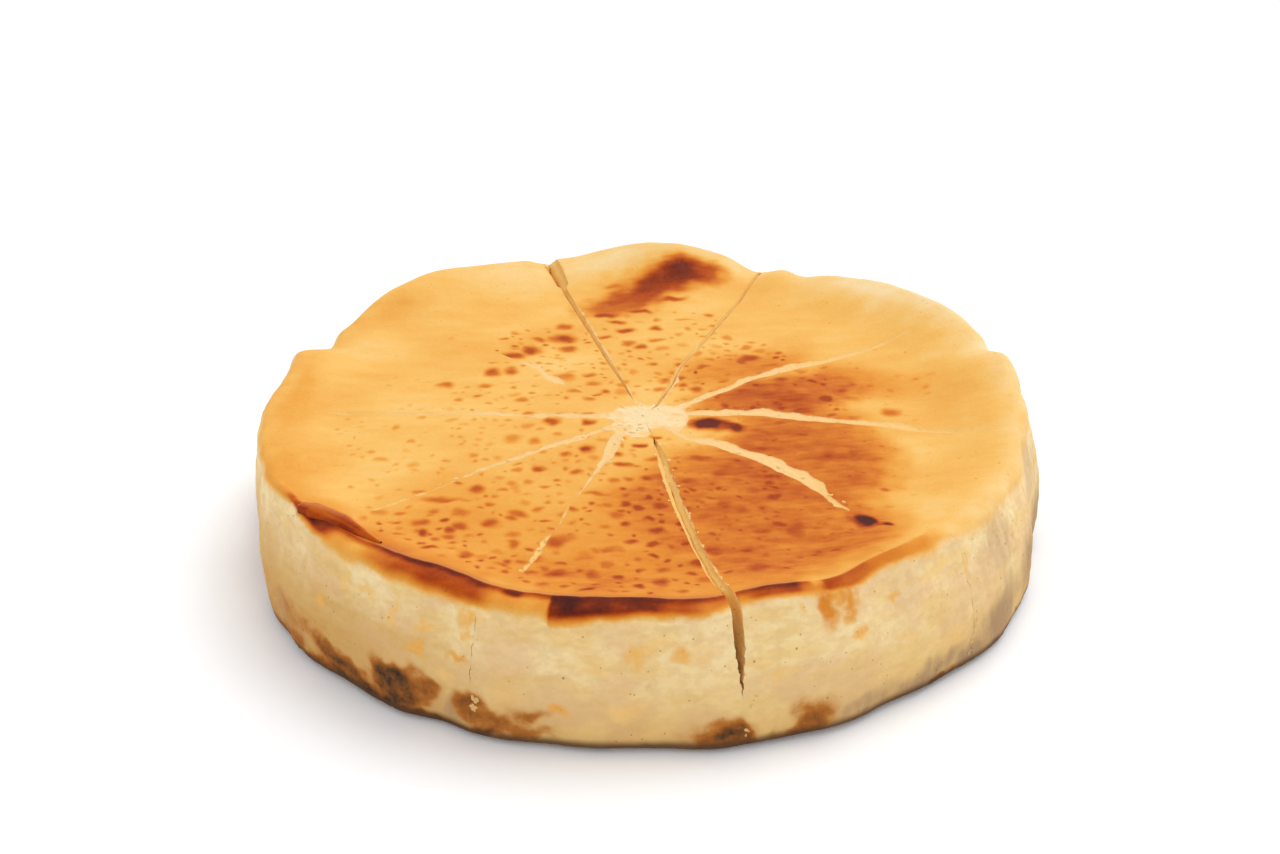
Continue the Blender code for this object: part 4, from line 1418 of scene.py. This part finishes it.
# The crumbs
# The knife dragged soft curds out of the cake. They lie along the cuts and in the cracks of the side,
# pale and irregular, stuck where they fell.
CRUMB_ROWS = (  # cut's number, side of it, reach from and to, how far off it, count, largest radius
    (8, 1, 24, 106, 0.5, 12, 0.55),
    (8, -1, 22, 60, 0.4, 4, 0.45),
    (7, -1, 74, 97, 0.7, 9, 0.85),
    (7, 1, 12, 34, 1.2, 4, 0.70),
    (9, 1, 36, 84, 2.8, 8, 0.80),
    (6, -1, 14, 90, 1.0, 7, 0.75),
    (10, 1, 24, 92, 2.0, 4, 0.60),
    (1, 1, 20, 84, 1.8, 4, 0.60),
)
SIDE_CRUMBS = (  # angle at the top and the foot of a crack, its heights, count, largest radius
    (247.6, 247.75, 16.0, 10.4, 10, 0.80),
    (283.9, 283.7, 18.6, 14.0, 3, 0.60),
    (283.3, 283.1, 10.0, 5.0, 3, 0.55),
    (321.0, 320.0, 17.0, 5.0, 7, 0.70),
)
MIDDLE_CRUMBS = 8
MIDDLE_CRUMBS_AT = np.array([-4.5, -8.0])
MIDDLE_CRUMBS_SPREAD = np.array([5.0, 3.4])
MIDDLE_CRUMB = 0.95  # radius of the largest
CRUMBS_SPACED = 0.618  # share of a row from one crumb to the next, round and round
SMALLER = 0.62  # share by which crumbs get smaller from the first of a row to the last
CRUMB_SEED = 83
SIDE_CRUMB_SHADE = 0.35
CRUMB_FLATNESS = 0.55
CRUMB_STANDS = -0.1  # height of a crumb's middle over the cake, as a share of its radius
SIDE_FROM = 115  # distance from the middle from which a crumb lies on the side

sheets = [(points[values["cut_crumb"] == 0], values["outer_side"][values["cut_crumb"] == 0])
          for points, _, values in wedges]
top_points = np.vstack([points[side < 0.5] for points, side in sheets])
side_points = np.vstack([points[side > 0.5] for points, side in sheets])


def along_row(draw, k, count):
    """Where crumb k of a row lies, as a share of the row's length."""
    return (k * CRUMBS_SPACED + draw.uniform(0, 1.4) / count) % 1.0


def nearest(points, target):
    """The one of the points that is nearest to the target, a place in plan or in space."""
    return points[np.argmin(((points[:, :len(target)] - target) ** 2).sum(axis=1))]


def crumb_places(draw):
    """Place, radius and outward direction of every crumb, the largest of each row first."""
    up = np.array([0.0, 0.0, 1.0])
    found = []
    for number, side, start, end, off, count, largest in CRUMB_ROWS:
        cut = CUTS[number - 1]
        for k in range(count):
            reach = start + (end - start) * along_row(draw, k, count)
            aside = side * abs(draw.gauss(off, 0.5 * off)) / reach
            angle = float(cut_angle(cut, reach, 0.0, side, meet)) + aside
            x, y = on_plan(reach, angle, meet)
            at = nearest(top_points, np.array([x - middle[0], y - middle[1]]))
            found.append((at, largest * (1 - SMALLER * k / count), up))
    for upper, lower, high, low, count, largest in SIDE_CRUMBS:
        for k in range(count):
            share = along_row(draw, k, count)
            angle = math.radians(upper + (lower - upper) * share + draw.gauss(0, 0.25))
            outward = np.array([math.cos(angle), math.sin(angle), 0.0])
            target = outward * SIDE_MIDDLE_RADIUS + up * (high + (low - high) * share)
            at = nearest(side_points, target)
            found.append((at, largest * (1 - SMALLER * k / count), outward))
    for k in range(MIDDLE_CRUMBS):
        angle = 2.4 * k
        spread = MIDDLE_CRUMBS_SPREAD * math.sqrt(draw.random())
        at = nearest(top_points, MIDDLE_CRUMBS_AT + spread * (math.cos(angle), math.sin(angle)))
        found.append((at, MIDDLE_CRUMB * (1 - 0.65 * k / MIDDLE_CRUMBS), up))
    return found


def crumb_mesh():
    """Points in mm and faces of all crumbs, each a small lumpy ball."""
    ball = bmesh.new()
    bmesh.ops.create_icosphere(ball, subdivisions=2, radius=1.0)
    plain = np.array([tuple(vertex.co) for vertex in ball.verts])
    corners = [tuple(vertex.index for vertex in face.verts) for face in ball.faces]
    ball.free()
    draw = random.Random(CRUMB_SEED)
    parts = []
    faces = []
    for k, (at, radius, outward) in enumerate(crumb_places(draw)):
        shape = plain * [draw.uniform(0.7, 1.4) for _ in range(3)]
        shape = shape * (1 + 0.25 * ripple(plain * 3 + k * 7.0, 2.4, 84))[:, None]
        shape = shape - CRUMB_FLATNESS * (shape @ outward)[:, None] * outward
        faces += [tuple(i + k * len(plain) for i in face) for face in corners]
        parts.append(at + radius * shape + radius * CRUMB_STANDS * outward)
    return np.vstack(parts), faces


points, faces = crumb_mesh()
on_side = (np.hypot(points[:, 0], points[:, 1]) > SIDE_FROM).astype(float)
# crumbs on the side get part of the painted side shade, so that they look darker
crumb_values = {"outer_side": on_side, "painted_side_shade": SIDE_CRUMB_SHADE * on_side}
crumbs = mesh_piece("crumbs", in_frame(points), faces, crumb_values, baked)
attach(crumbs, "root")


# The table and the light
# The cake stands on a plain white surface under a bright even sky, with one large soft light
# behind it on the right.
FLOOR_SIZE = 6.0
TABLE_WHITE = (0.97, 0.98, 1.0, 1)
TABLE_GLOW = 0.05
SKY_STRENGTH = 0.83
KEY_STRENGTH = 1.35
KEY_SPREAD = math.radians(50)
KEY_HEIGHT = math.radians(52)
KEY_HEADING = math.radians(50)

bpy.ops.mesh.primitive_plane_add(size=FLOOR_SIZE)
floor = bpy.context.object
floor.name = "floor"
table_top = bpy.data.materials.new("white table")
table_top.use_nodes = True
paint = table_top.node_tree.nodes["Principled BSDF"].inputs
paint["Base Color"].default_value = TABLE_WHITE
paint["Roughness"].default_value = 0.9
paint["Specular IOR Level"].default_value = 0.1
paint["Emission Color"].default_value = (1, 1, 1, 1)
paint["Emission Strength"].default_value = TABLE_GLOW
floor.data.materials.append(table_top)

sky = bpy.data.worlds.new("white studio")
sky.use_nodes = True
light = sky.node_tree.nodes["Background"].inputs
light["Color"].default_value = (1, 1, 1, 1)
light["Strength"].default_value = SKY_STRENGTH
bpy.context.scene.world = sky

key = bpy.data.objects.new("key light", bpy.data.lights.new("key light", "SUN"))
bpy.context.scene.collection.objects.link(key)
key.data.energy = KEY_STRENGTH
key.data.angle = KEY_SPREAD
towards = Vector((
    math.cos(KEY_HEIGHT) * math.cos(KEY_HEADING),
    math.cos(KEY_HEIGHT) * math.sin(KEY_HEADING),
    math.sin(KEY_HEIGHT),
))
key.rotation_euler = (-towards).to_track_quat("-Z", "Y").to_euler()
bpy.context.scene.view_settings.view_transform = "Standard"
